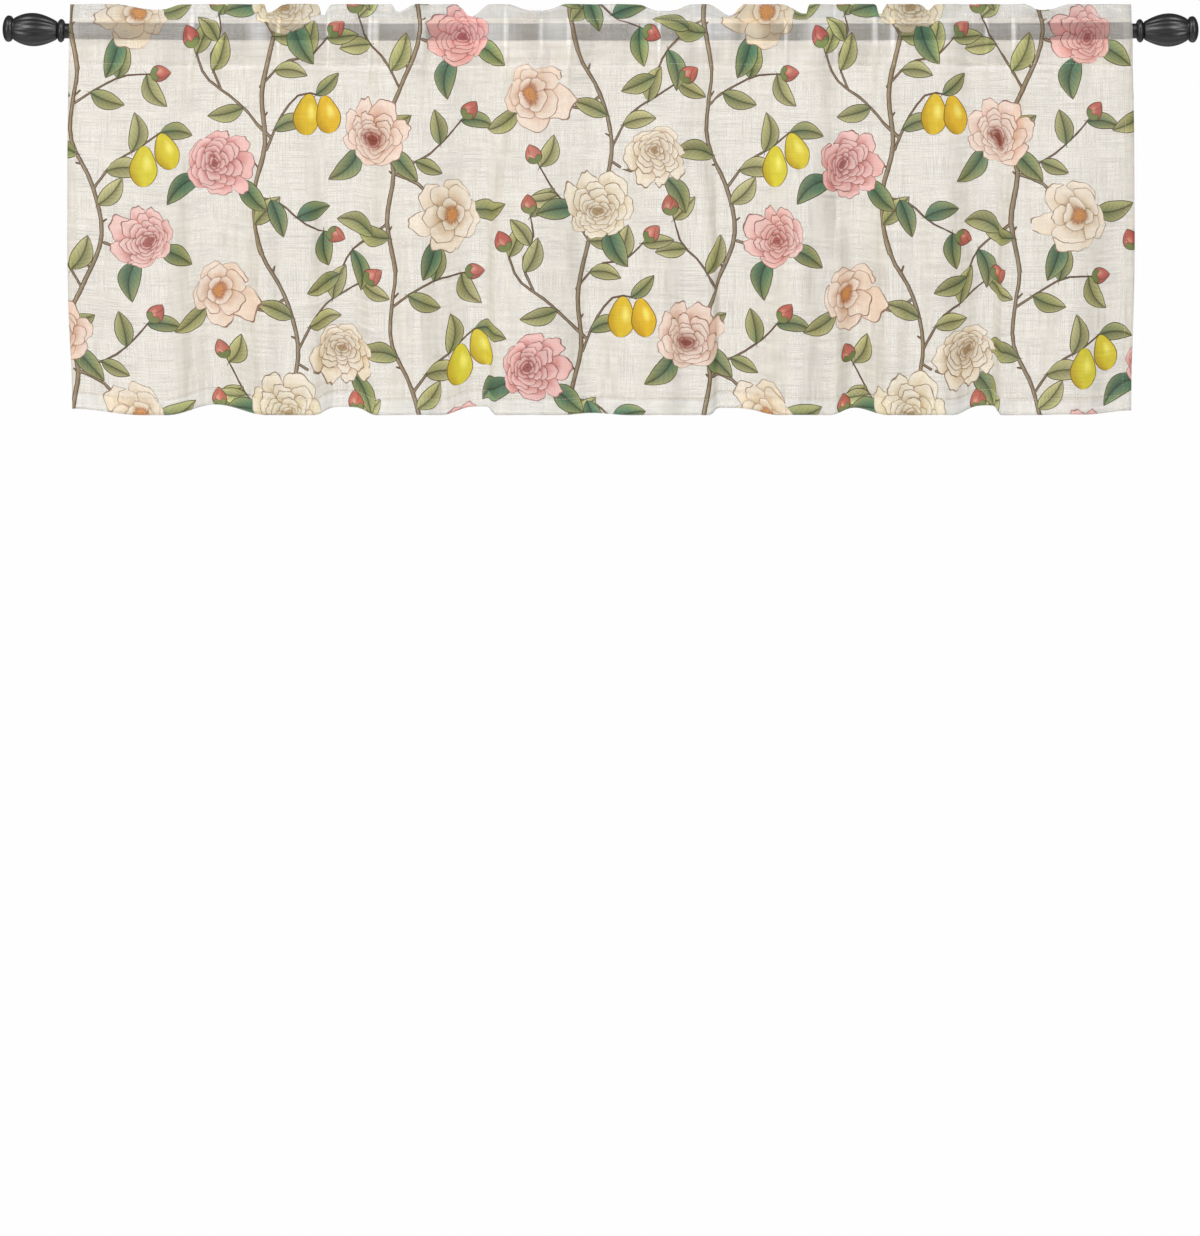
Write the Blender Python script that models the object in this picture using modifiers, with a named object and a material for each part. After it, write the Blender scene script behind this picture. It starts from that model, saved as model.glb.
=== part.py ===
"""Window valance gathered on a curtain rod, with a fluted finial at each end.

Metres, +Z up.  X runs along the rod and the front of the cloth faces -Y.  The origin is on the
rod's axis, half way along it.
"""
import math
from collections import namedtuple

import bmesh
import bpy
from mathutils import Matrix, Vector

# Rod
ROD_DIAMETER = 0.019
ROD_LENGTH = 1.183
ROD_SIDES = 32

# Cloth: heights are above the rod's axis
CLOTH_THICKNESS = 0.0012
LAYER_SPACING = 0.0026          # between the middles of two layers that lie together
PANEL_HALF_WIDTH = 0.5937
SIDE_BULGE = 0.0028             # how far the sides swell out half way down
SIDE_DRAW = 0.0030              # how far the hem's corners are drawn in
HEADING_TOP = 0.0297
HEADING_SEAM = 0.0125
POCKET_SEAM = -0.0385
HEM_EDGE = -0.4282
HEM_DEPTH = 0.0195
FOLD_ROUND = 0.0017             # height taken by the round of a turned edge

# The pocket's half section, from its seam up round the rod to the heading's seam.  free: the
# share of a gather's puff that shows at this height
PocketPoint = namedtuple("PocketPoint", "out height free")
POCKET_SECTION = (
    PocketPoint(LAYER_SPACING / 2.0, POCKET_SEAM, 0.0),
    PocketPoint(0.0060, -0.0240, 0.70),
    PocketPoint(0.0100, -0.0078, 1.00),
    PocketPoint(0.0119, 0.0000, 0.90),
    PocketPoint(0.0086, 0.0086, 0.50),
    PocketPoint(LAYER_SPACING / 2.0, HEADING_SEAM, 0.0),
)
BODY_STEPS = (0.12, 0.28, 0.45, 0.63, 0.82)     # shares of the way down from seam to hem

# Dips in the ruffle's top edge: where, reach to either side, drop, lean towards the back, and
# crisp: above 1 the dip is flat with steep sides
Dip = namedtuple("Dip", "at left right drop lean crisp")
HEADING_DIPS = (
    Dip(-0.4940, 0.0480, 0.0260, 0.0062, 0.0050, 1.3),
    Dip(-0.3725, 0.0048, 0.0210, 0.0098, -0.0040, 1.0),
    Dip(-0.3110, 0.0060, 0.0100, 0.0140, 0.0045, 1.0),
    Dip(-0.2275, 0.0070, 0.0230, 0.0088, -0.0050, 1.0),
    Dip(-0.1450, 0.0165, 0.0210, 0.0142, 0.0055, 1.0),
    Dip(-0.0714, 0.0340, 0.0340, 0.0072, -0.0045, 1.8),
    Dip(0.0714, 0.0290, 0.0310, 0.0072, 0.0050, 2.0),
    Dip(0.1455, 0.0260, 0.0160, 0.0130, -0.0055, 1.0),
    Dip(0.2297, 0.0270, 0.0050, 0.0108, 0.0045, 1.0),
    Dip(0.3128, 0.0062, 0.0076, 0.0126, -0.0040, 1.0),
    Dip(0.3670, 0.0100, 0.0080, 0.0066, 0.0040, 1.0),
    Dip(0.4923, 0.0190, 0.0350, 0.0068, -0.0050, 1.3),
)

LEAN_REACH = 1.6                # a dip's lean over its drop, sideways

# Where the pocket is drawn tight on to the rod, and how fully it stands off to the right of that
Gather = namedtuple("Gather", "at fullness")
GATHERS = (
    Gather(-0.5937, 0.8),
    Gather(-0.5270, 1.0),
    Gather(-0.4588, 0.9),
    Gather(-0.4276, 1.0),
    Gather(-0.3919, 0.8),
    Gather(-0.3629, 1.1),
    Gather(-0.3050, 0.9),
    Gather(-0.2581, 0.8),
    Gather(-0.2291, 1.1),
    Gather(-0.1900, 0.9),
    Gather(-0.1444, 0.8),
    Gather(-0.1054, 1.1),
    Gather(-0.0550, 0.9),
    Gather(-0.0060, 1.0),
    Gather(0.0396, 0.8),
    Gather(0.0652, 1.1),
    Gather(0.1075, 0.7),
    Gather(0.1277, 1.1),
    Gather(0.1745, 0.9),
    Gather(0.2180, 1.0),
    Gather(0.2604, 1.0),
    Gather(0.3140, 0.9),
    Gather(0.3674, 1.1),
    Gather(0.4120, 0.8),
    Gather(0.4577, 1.0),
    Gather(0.5080, 0.9),
    Gather(0.5500, 0.9),
    Gather(0.5937, 0.0),
)
PUFF_SHARE = 0.105              # a gather's stand-off over its width
MEAN_PUFF = 0.0022

# Folds below the pocket.  at: place along the hem; lean: how far the fold's upper end lies to
# the right of that; left, right: reach to either side; back: depth, away from the viewer;
# lift: how far the hem is drawn up; crisp: above 1 the fold is flat with steep sides.
Fold = namedtuple("Fold", "at lean left right back lift crisp")
FOLDS = (
    Fold(-0.5940, 0.000, 0.020, 0.080, -0.0095, 0.0070, 1.0),
    Fold(-0.4340, -0.022, 0.054, 0.060, 0.0165, 0.0124, 1.0),
    Fold(-0.3780, 0.000, 0.018, 0.024, -0.0065, 0.0000, 1.0),
    Fold(-0.2880, 0.002, 0.034, 0.036, 0.0110, 0.0095, 2.4),
    Fold(-0.2050, 0.010, 0.040, 0.032, -0.0120, 0.0000, 1.0),
    Fold(-0.1305, 0.012, 0.048, 0.0120, 0.0100, 0.0100, 2.2),
    Fold(-0.0780, 0.006, 0.040, 0.045, -0.0090, 0.0000, 1.0),
    Fold(-0.0100, 0.004, 0.036, 0.044, 0.0110, 0.0028, 1.0),
    Fold(0.0720, 0.002, 0.036, 0.022, -0.0100, 0.0000, 1.0),
    Fold(0.1348, -0.004, 0.0120, 0.065, 0.0100, 0.0085, 2.2),
    Fold(0.2180, 0.006, 0.034, 0.034, -0.0120, 0.0000, 1.0),
    Fold(0.2840, -0.010, 0.028, 0.038, 0.0150, 0.0088, 1.0),
    Fold(0.3225, 0.002, 0.016, 0.024, -0.0070, 0.0000, 1.0),
    Fold(0.3760, -0.006, 0.026, 0.026, -0.0090, 0.0000, 1.0),
    Fold(0.4360, 0.016, 0.042, 0.0120, 0.0105, 0.0112, 2.2),
    Fold(0.5200, -0.004, 0.042, 0.050, -0.0110, 0.0005, 1.0),
    Fold(0.5940, 0.000, 0.058, 0.020, 0.0095, 0.0055, 1.0),
)
FOLD_START = 0.010              # below the pocket's seam
FOLD_FULL = 0.240               # below the pocket's seam, where a fold has its whole depth
SEAM_FOLD_SHARE = 0.42          # of a fold's depth that is already there at the seam
RIPPLE_FADE = 0.080             # how soon the gathers' ripple dies out below the seam
COLUMN_SPACING = 0.0200
COLUMN_NEAREST = 0.0044

# Finials: distances run outwards from the rod's end
FINIAL_GAP = 0.0006
NECK_RADIUS = 0.0084
NECK_LENGTH = 0.0052
COLLAR_LENGTH = 0.0082
COLLAR_RADIUS = 0.0124
BARREL_LENGTH = 0.0478
BARREL_INNER_RADIUS = 0.0086
BARREL_OUTER_RADIUS = 0.0120
BARREL_SWELL = 0.0068
BARREL_SKEW = 1.2               # moves the thickest place towards the outer end
BARREL_FULLNESS = 0.8
BUTTON_LENGTH = 0.0105
BUTTON_RADIUS = 0.0146
FLUTES = 12
FLUTE_DEPTH = 0.0011
FINIAL_SIDES = 4 * FLUTES
FINIAL_TILTS = {"finial_left": 2.2, "finial_right": 1.5}   # degrees, outer end up


def clear_scene():
    for scene_object in list(bpy.data.objects):
        bpy.data.objects.remove(scene_object, do_unlink=True)


def make_material(name, colour, roughness, metallic):
    material = bpy.data.materials.new(name)
    material.use_nodes = True
    shader = material.node_tree.nodes["Principled BSDF"]
    shader.inputs["Base Color"].default_value = (*colour, 1.0)
    shader.inputs["Roughness"].default_value = roughness
    shader.inputs["Metallic"].default_value = metallic
    return material


def place_object(name, mesh, material, collection):
    mesh.materials.append(material)
    part = bpy.data.objects.new(name, mesh)
    collection.objects.link(part)
    return part


def smooth_step(value):
    value = min(max(value, 0.0), 1.0)
    return value * value * (3.0 - 2.0 * value)


def bell(x, at, left, right, crisp=1.0):
    """1 at the fold's middle, falling to 0 at its reach: (1 + cos(pi s)) / 2, squared off."""
    reach = left if x < at else right
    share = abs(x - at) / reach
    if share >= 1.0:
        return 0.0
    return min(1.0, crisp * 0.5 * (1.0 + math.cos(math.pi * share)))


def heading_height(x):
    drop = sum(dip.drop * bell(x, dip.at, dip.left, dip.right, dip.crisp) for dip in HEADING_DIPS)
    return HEADING_TOP - drop


def heading_lean(x):
    """A dip's lean reaches further to either side than its drop."""
    return sum(
        dip.lean * bell(x, dip.at, dip.left * LEAN_REACH, dip.right * LEAN_REACH)
        for dip in HEADING_DIPS
    )


def hem_height(x):
    lift = sum(fold.lift * bell(x, fold.at, fold.left, fold.right, fold.crisp) for fold in FOLDS)
    return HEM_EDGE + lift


def puff(x):
    """How far the pocket stands off the rod: a sine-squared arch between two gathers."""
    for start, end in zip(GATHERS, GATHERS[1:]):
        if start.at <= x <= end.at:
            width = end.at - start.at
            arch = math.sin(math.pi * (x - start.at) / width) ** 2
            return start.fullness * PUFF_SHARE * width * arch
    return 0.0


def drape(x, z):
    """How far the single cloth hangs behind the rod's axis at x, z, below the pocket."""
    below = POCKET_SEAM - z
    grown = smooth_step((below - FOLD_START) / (FOLD_FULL - FOLD_START))
    strength = SEAM_FOLD_SHARE + (1.0 - SEAM_FOLD_SHARE) * grown
    depth = 0.0
    for fold in FOLDS:
        at = fold.at + fold.lean * (1.0 - grown)
        softening = 1.0 + 1.2 * (1.0 - grown)
        depth += fold.back * bell(x, at, fold.left * softening, fold.right * softening, fold.crisp)
    ripple = (puff(x) - MEAN_PUFF) * math.exp(-max(below, 0.0) / RIPPLE_FADE)
    return strength * depth - ripple


def side_stretch(z):
    """The cloth's half width at a height, over its half width at the rod."""
    down = min(max((HEADING_TOP - z) / (HEADING_TOP - HEM_EDGE), 0.0), 1.0)
    swell = SIDE_BULGE * math.sin(math.pi * min(down / 0.9, 1.0))
    drawn = SIDE_DRAW * smooth_step((down - 0.7) / 0.3)
    return (PANEL_HALF_WIDTH + swell - drawn) / PANEL_HALF_WIDTH


def layer_point(surface, x, z, offset):
    """The point at x, z of surface(x, z) -> y, moved offset along the surface's normal."""
    step = 0.0005
    slope_x = (surface(x + step, z) - surface(x - step, z)) / (2.0 * step)
    slope_z = (surface(x, z + step) - surface(x, z - step)) / (2.0 * step)
    normal = Vector((-slope_x, 1.0, -slope_z)).normalized()
    return Vector((x, surface(x, z), z)) + normal * offset


def heading_surface(x, z):
    return heading_lean(x) * smooth_step((z - HEADING_SEAM) / (HEADING_TOP - HEADING_SEAM))


def pocket_point(x, section, side):
    """The pocket follows the drape at its seam, and the rod from just below it upwards."""
    share = smooth_step((-0.012 - section.height) / (-0.012 - POCKET_SEAM))
    out = section.out + section.free * puff(x)
    return Vector((x, share * drape(x, POCKET_SEAM) + side * out, section.height))


def panel_rows():
    """The cloth's section as (zone, share, side): up behind, over the top, down the front."""
    edge = FOLD_ROUND / HEM_DEPTH
    top = 1.0 - FOLD_ROUND / (HEADING_TOP - HEADING_SEAM)
    rows = [("pocket", index, 1) for index in range(len(POCKET_SECTION))]
    rows += [("heading", top, 1), ("heading", 1.0, 0), ("heading", top, -1)]
    rows += [("pocket", index, -1) for index in reversed(range(len(POCKET_SECTION)))]
    rows += [("body", share, -1) for share in BODY_STEPS]
    rows += [("hem", 1.0, -1), ("hem", edge, -1), ("hem", 0.0, 0), ("hem", edge, 1), ("hem", 1.0, 1)]
    return rows


def panel_point(x, row):
    zone, share, side = row
    offset = side * LAYER_SPACING / 2.0
    if zone == "pocket":
        point = pocket_point(x, POCKET_SECTION[share], side)
    elif zone == "heading":
        height = HEADING_SEAM + share * (heading_height(x) - HEADING_SEAM)
        point = layer_point(heading_surface, x, height, offset)
    elif zone == "body":
        height = POCKET_SEAM + share * (hem_height(x) + HEM_DEPTH - POCKET_SEAM)
        point = layer_point(drape, x, height, offset)
    else:
        point = layer_point(drape, x, hem_height(x) + share * HEM_DEPTH, offset)
    point.x *= side_stretch(point.z)
    return point


def knee(crisp):
    """The share of a fold's reach at which its flat middle ends."""
    return math.acos(2.0 / crisp - 1.0) / math.pi


def panel_columns():
    """Places along the rod: each fold's middle, knees and reach, filled in to an even spacing."""
    wanted = [gather.at for gather in GATHERS]
    for fold in HEADING_DIPS + FOLDS:
        for share in (knee(fold.crisp), 1.0):
            wanted += [fold.at - share * fold.left, fold.at + share * fold.right]
    columns = [-PANEL_HALF_WIDTH]
    for place in sorted(wanted):
        inside = place < PANEL_HALF_WIDTH - COLUMN_NEAREST
        if inside and place - columns[-1] >= COLUMN_NEAREST:
            columns.append(place)
    columns.append(PANEL_HALF_WIDTH)
    filled = [columns[0]]
    for place in columns[1:]:
        start = filled[-1]
        parts = math.ceil((place - start) / COLUMN_SPACING)
        filled += [start + (place - start) * part / parts for part in range(1, parts + 1)]
    return filled


def make_panel(collection):
    columns = panel_columns()
    rows = panel_rows()
    grid = bmesh.new()
    bmesh.ops.create_grid(grid, x_segments=len(columns) - 1, y_segments=len(rows) - 1, size=0.5)
    for vertex in grid.verts:
        column = round((vertex.co.x + 0.5) * (len(columns) - 1))
        row = round((vertex.co.y + 0.5) * (len(rows) - 1))
        vertex.co = panel_point(columns[column], rows[row])
    mesh = bpy.data.meshes.new("valance_panel")
    grid.to_mesh(mesh)
    grid.free()
    mesh.shade_smooth()
    cloth = make_material("printed_cloth", (0.78, 0.74, 0.66), 0.85, 0.0)
    panel = place_object("valance_panel", mesh, cloth, collection)
    thickness = panel.modifiers.new("cloth_thickness", "SOLIDIFY")
    thickness.thickness = CLOTH_THICKNESS
    thickness.offset = 0.0
    return panel


def make_rod(material, collection):
    rod = bmesh.new()
    bmesh.ops.create_cone(
        rod,
        cap_ends=True,
        segments=ROD_SIDES,
        radius1=ROD_DIAMETER / 2.0,
        radius2=ROD_DIAMETER / 2.0,
        depth=ROD_LENGTH,
    )
    bmesh.ops.rotate(rod, verts=rod.verts, matrix=Matrix.Rotation(math.pi / 2.0, 3, "Y"))
    mesh = bpy.data.meshes.new("rod")
    rod.to_mesh(mesh)
    rod.free()
    mesh.shade_smooth()
    mesh.set_sharp_from_angle(angle=math.radians(40.0))
    return place_object("rod", mesh, material, collection)


def bead(start, length, foot, radius, steps):
    """A round bead on a turned piece: an ellipse arc that stands on the foot radius."""
    points = []
    for step in range(steps + 1):
        angle = math.pi * step / steps
        away = start + length * 0.5 * (1.0 - math.cos(angle))
        points.append((away, foot + (radius - foot) * math.sin(angle)))
    return points


def barrel(start, steps):
    """The swollen barrel: a straight taper with a skewed sine arch on it."""
    points = []
    for step in range(steps + 1):
        share = step / steps
        taper = BARREL_INNER_RADIUS + share * (BARREL_OUTER_RADIUS - BARREL_INNER_RADIUS)
        arch = max(math.sin(math.pi * share ** BARREL_SKEW), 0.0) ** BARREL_FULLNESS
        points.append((start + share * BARREL_LENGTH, taper + BARREL_SWELL * arch))
    return points


def button(start, steps):
    """The end button: a quarter-round shoulder, then a shallow dome that closes on the axis."""
    shoulder = BUTTON_LENGTH * 0.42
    points = []
    for step in range(1, 3):
        angle = math.pi / 2.0 * step / 2
        rise = (BUTTON_RADIUS - BARREL_OUTER_RADIUS) * math.sin(angle)
        points.append((start + shoulder * (1.0 - math.cos(angle)), BARREL_OUTER_RADIUS + rise))
    for step in range(1, steps + 1):
        angle = math.pi / 2.0 * step / steps
        dome = (BUTTON_LENGTH - shoulder) * math.sin(angle)
        points.append((start + shoulder + dome, BUTTON_RADIUS * math.cos(angle)))
    points[-1] = (points[-1][0], 0.0)
    return points


def finial_profile():
    collar_start = FINIAL_GAP + NECK_LENGTH
    barrel_start = collar_start + COLLAR_LENGTH + 0.0008
    button_start = barrel_start + BARREL_LENGTH + 0.0012
    profile = [(FINIAL_GAP, 0.0), (FINIAL_GAP, NECK_RADIUS)]
    profile += bead(collar_start, COLLAR_LENGTH, NECK_RADIUS, COLLAR_RADIUS, 5)
    profile += barrel(barrel_start, 9)
    profile += button(button_start, 4)
    return profile


def make_finial(name, direction, material, collection):
    """Turned about Z, foot up so that the screw's faces point out, fluted, then laid along X."""
    profile = finial_profile()
    outline = bpy.data.meshes.new(name + "_profile")
    points = [(radius, 0.0, -away) for away, radius in profile]
    edges = [(index, index + 1) for index in range(len(points) - 1)]
    outline.from_pydata(points, edges, [])
    turned = bpy.data.objects.new(name + "_turned", outline)
    collection.objects.link(turned)
    screw = turned.modifiers.new("turning", "SCREW")
    screw.axis = "Z"
    screw.steps = FINIAL_SIDES
    screw.render_steps = FINIAL_SIDES
    screw.use_merge_vertices = True
    screw.merge_threshold = 0.00005
    graph = bpy.context.evaluated_depsgraph_get()
    mesh = bpy.data.meshes.new_from_object(turned.evaluated_get(graph))
    bpy.data.objects.remove(turned, do_unlink=True)
    mesh.name = name
    flute_barrel(mesh, direction, math.radians(FINIAL_TILTS[name]))
    mesh.shade_smooth()
    mesh.set_sharp_from_angle(angle=math.radians(55.0))
    return place_object(name, mesh, material, collection)


def flute_barrel(mesh, direction, tilt):
    barrel_start = FINIAL_GAP + NECK_LENGTH + COLLAR_LENGTH
    lay_down = Matrix.Rotation(-direction * math.pi / 2.0, 4, "Y")
    to_end = Matrix.Translation((direction * ROD_LENGTH / 2.0, 0.0, 0.0))
    lift_end = Matrix.Rotation(-direction * tilt, 4, "Y")
    placing = to_end @ lift_end @ lay_down
    for vertex in mesh.vertices:
        share = (-vertex.co.z - barrel_start) / BARREL_LENGTH
        if 0.0 < share < 1.0:
            radius = math.hypot(vertex.co.x, vertex.co.y)
            angle = math.atan2(vertex.co.y, vertex.co.x)
            fade = math.sin(math.pi * share) ** 0.6
            groove = FLUTE_DEPTH * fade * 0.5 * (1.0 - math.cos(FLUTES * angle))
            vertex.co.x *= (radius - groove) / radius
            vertex.co.y *= (radius - groove) / radius
        vertex.co = placing @ vertex.co


def build_valance():
    clear_scene()
    collection = bpy.data.collections.new("window_valance")
    bpy.context.scene.collection.children.link(collection)
    black = make_material("black_satin_metal", (0.045, 0.045, 0.047), 0.42, 0.3)
    make_rod(black, collection)
    make_finial("finial_left", -1.0, black, collection)
    make_finial("finial_right", 1.0, black, collection)
    make_panel(collection)


build_valance()
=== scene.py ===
import math

import bpy
import numpy as np
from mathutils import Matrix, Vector


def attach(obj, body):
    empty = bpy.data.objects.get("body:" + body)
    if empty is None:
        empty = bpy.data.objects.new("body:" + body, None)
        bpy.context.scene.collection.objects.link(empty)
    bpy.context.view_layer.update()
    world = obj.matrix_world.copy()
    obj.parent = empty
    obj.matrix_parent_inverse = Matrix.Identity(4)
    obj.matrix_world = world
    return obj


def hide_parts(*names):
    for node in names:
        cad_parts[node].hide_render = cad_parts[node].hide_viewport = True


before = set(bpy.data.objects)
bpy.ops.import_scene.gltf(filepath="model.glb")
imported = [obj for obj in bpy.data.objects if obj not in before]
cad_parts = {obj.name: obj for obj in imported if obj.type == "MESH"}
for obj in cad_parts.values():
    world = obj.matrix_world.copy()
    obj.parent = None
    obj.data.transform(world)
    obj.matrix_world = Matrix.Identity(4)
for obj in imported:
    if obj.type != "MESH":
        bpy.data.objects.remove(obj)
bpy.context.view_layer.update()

# Window valance on a curtain rod: printed semi-sheer cloth, a plain rod, two fluted end pieces.
# Metres; X along the rod, -Y towards the viewer, +Z up, origin on the rod's axis at mid-length.
rng = np.random.default_rng(27)
tau = 2.0 * math.pi


def gridFaces(rows, columns, start=0, flip=False):
    # quads between neighbouring points of a rows x columns grid of vertices
    index = start + np.arange(rows * columns).reshape(rows, columns)
    corners = [index[:-1, :-1], index[:-1, 1:], index[1:, 1:], index[1:, :-1]]
    if flip:
        corners.reverse()
    return np.stack([corner.ravel() for corner in corners], axis=1)


def tubeFaces(index):
    # quads between neighbouring rings of a tube; each row of the index is one ring
    onward = np.roll(index, -1, axis=1)
    return np.stack([index[:-1], onward[:-1], onward[1:], index[1:]], -1).reshape(-1, 4)


def makePiece(name, vertices, faces, material, smooth=True):
    # faces is an array of corner numbers, or a list of arrays whose faces have three, four or more corners
    parts = faces if isinstance(faces, list) else [faces]
    loops = np.concatenate([part.ravel() for part in parts]).astype(np.int32)
    totals = np.concatenate([np.full(len(part), part.shape[1]) for part in parts])
    mesh = bpy.data.meshes.new(name)
    mesh.vertices.add(len(vertices))
    mesh.vertices.foreach_set("co", np.asarray(vertices, dtype=np.float32).ravel())
    mesh.loops.add(len(loops))
    mesh.loops.foreach_set("vertex_index", loops)
    mesh.polygons.add(len(totals))
    starts = np.concatenate([[0], np.cumsum(totals)[:-1]]).astype(np.int32)
    mesh.polygons.foreach_set("loop_start", starts)
    mesh.polygons.foreach_set("loop_total", totals.astype(np.int32))
    mesh.update(calc_edges=True)
    if smooth:
        mesh.shade_smooth()
    mesh.materials.append(material)
    piece = bpy.data.objects.new(name, mesh)
    bpy.context.scene.collection.objects.link(piece)
    return piece


class Wire:
    # one value in a node tree, so that a tree is written as sums and products of such values
    def __init__(self, tree, socket):
        self.tree = tree
        self.socket = socket

    def __add__(self, other):
        return mathNode(self.tree, "ADD", self, other)

    def __sub__(self, other):
        return mathNode(self.tree, "SUBTRACT", self, other)

    def __rsub__(self, other):
        return mathNode(self.tree, "SUBTRACT", other, self)

    def __mul__(self, other):
        return mathNode(self.tree, "MULTIPLY", self, other)

    def __truediv__(self, other):
        return mathNode(self.tree, "DIVIDE", self, other)

    def __pow__(self, other):
        return mathNode(self.tree, "POWER", self, other)

    __radd__ = __add__
    __rmul__ = __mul__


def feed(tree, value, socket):
    if isinstance(value, Wire):
        tree.links.new(value.socket, socket)
    else:
        socket.default_value = value


def mathNode(tree, operation, *values):
    node = tree.nodes.new("ShaderNodeMath")
    node.operation = operation
    for value, socket in zip(values, node.inputs):
        feed(tree, value, socket)
    return Wire(tree, node.outputs[0])


def treeOf(*values):
    return next(value.tree for value in values if isinstance(value, Wire))


def calc(operation, *values):
    return mathNode(treeOf(*values), operation.upper(), *values)


def smooth(value, low, high):
    # 0 below low, 1 above high, an S curve between; falls instead where low is above high
    tree = treeOf(value)
    node = tree.nodes.new("ShaderNodeMapRange")
    node.interpolation_type = "SMOOTHSTEP"
    feed(tree, value, node.inputs["Value"])
    feed(tree, low, node.inputs["From Min"])
    feed(tree, high, node.inputs["From Max"])
    return Wire(tree, node.outputs["Result"])


def blend(share, first, second, mode="MIX"):
    # colours: first where share is 0, second where it is 1
    tree = treeOf(share, first, second)
    node = tree.nodes.new("ShaderNodeMix")
    node.data_type = "RGBA"
    node.blend_type = mode
    feed(tree, share, node.inputs[0])
    for value, socket in ((first, node.inputs[6]), (second, node.inputs[7])):
        feed(tree, value if isinstance(value, Wire) else (*value, 1.0), socket)
    return Wire(tree, node.outputs[2])


def split(vector):
    node = vector.tree.nodes.new("ShaderNodeSeparateXYZ")
    feed(vector.tree, vector, node.inputs[0])
    return [Wire(vector.tree, socket) for socket in node.outputs]


def join(tree, x, y, z=0.0):
    node = tree.nodes.new("ShaderNodeCombineXYZ")
    for value, socket in zip((x, y, z), node.inputs):
        feed(tree, value, socket)
    return Wire(tree, node.outputs[0])


def noise(vector, scale, detail=2.0, rough=0.5, colour=False):
    node = vector.tree.nodes.new("ShaderNodeTexNoise")
    feed(vector.tree, vector, node.inputs["Vector"])
    node.inputs["Scale"].default_value = scale
    node.inputs["Detail"].default_value = detail
    node.inputs["Roughness"].default_value = rough
    return Wire(vector.tree, node.outputs["Color" if colour else "Fac"])


def srgb(red, green, blue):
    # the linear values of a colour given as it is seen, 0 to 255
    seen = np.array([red, green, blue]) / 255.0
    linear = np.where(seen <= 0.04045, seen / 12.92, ((seen + 0.055) / 1.055) ** 2.4)
    return tuple(float(value) for value in linear)


def makeGroup(name, inputs, outputs, build):
    # build(tree, wires by input name) returns the wires for the outputs, in order
    tree = bpy.data.node_groups.new(name, "ShaderNodeTree")
    kinds = {"f": "NodeSocketFloat", "v": "NodeSocketVector", "c": "NodeSocketColor"}
    for label, kind in inputs:
        tree.interface.new_socket(name=label, in_out="INPUT", socket_type=kinds[kind])
    for label, kind in outputs:
        tree.interface.new_socket(name=label, in_out="OUTPUT", socket_type=kinds[kind])
    entry = tree.nodes.new("NodeGroupInput")
    leave = tree.nodes.new("NodeGroupOutput")
    wires = {label: Wire(tree, entry.outputs[label]) for label, _ in inputs}
    for wire, (label, _) in zip(build(tree, wires), outputs):
        feed(tree, wire, leave.inputs[label])
    return tree


def useGroup(tree, group, **values):
    node = tree.nodes.new("ShaderNodeGroup")
    node.node_tree = group
    for label, value in values.items():
        feed(tree, value, node.inputs[label])
    return [Wire(tree, socket) for socket in node.outputs]


def newMaterial(name):
    material = bpy.data.materials.new(name)
    material.use_nodes = True
    tree = material.node_tree
    shader = tree.nodes["Principled BSDF"]
    return material, tree, shader


cloth = {
    "halfWidth": 0.5937,
    "headingTop": 0.0297,           # heights above the rod's axis, down to the hem's edge
    "headingSeam": 0.0125,
    "pocketJoin": -0.012,           # below this the pocket begins to follow the folds of the body
    "pocketSeam": -0.0385,
    "hemEdge": -0.4282,
    "hemDepth": 0.0195,
    "layerSpacing": 0.0020,         # between the middles of the front and the turned-back layer
    "thickness": 0.0005,
    "sideBulge": 0.0028,            # how far the sides stand out at mid-height
    "sideDraw": (0.0030, 0.0015),   # how far the left and right sides draw in near the hem
    "sideInset": (0.0023, 0.0020),  # the left side all the way down; the right at the top alone
    "rodWrap": 0.0112,              # the pocket's radius where it lies on the rod
    "puffShare": 0.105,             # stand-off of the pocket for each metre between two gathers
    "puffPower": 1.4,
    "puffEnd": 0.96,                # share of the pocket's height up to which it stands off
    "meanPuff": 0.0022,
    "rippleFade": 0.080,            # drop over which the gathers' ripple falls to a third
    "narrowPinch": 0.0070,          # pinches under this half width are narrow pleats
    "pleatHeight": 0.0011,
    "pleatWidth": 0.75,             # of the pinch's half width
    "pleatFade": 0.022,
    "ruffleSpread": (1.6, 0.006),   # a dip leans over its reach times the first, plus the second
    "ruffleRipple": 1.1,
    "rufflePleat": 0.8,
    "sideHem": 0.0105,              # the narrow turned edge at each side
    "hemRidge": 0.0008,             # columns this far to both sides of its inner line; stitches on the outer
    "foldStart": 0.010,             # below the seam the folds grow from here to here
    "foldFull": 0.240,
    "seamFoldShare": 0.42,          # of their full depth that the folds have at the seam
    "seamSoftening": 1.2,           # share by which they are wider there than at the hem
    "creaseEnd": 0.72,              # share of sin's half wave that a crease's depth runs through
    "columnStep": 0.0054,
    "leastColumn": 0.0009,          # columns nearer than this to the one before are left out
    "sharpReach": 0.013,            # sides of dips and folds shorter than this get closer columns
    "rowStep": 0.0060,
    "flatSize": (1.32, 0.547),      # the cut cloth, with the pocket's and the hem's turnings
}

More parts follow.
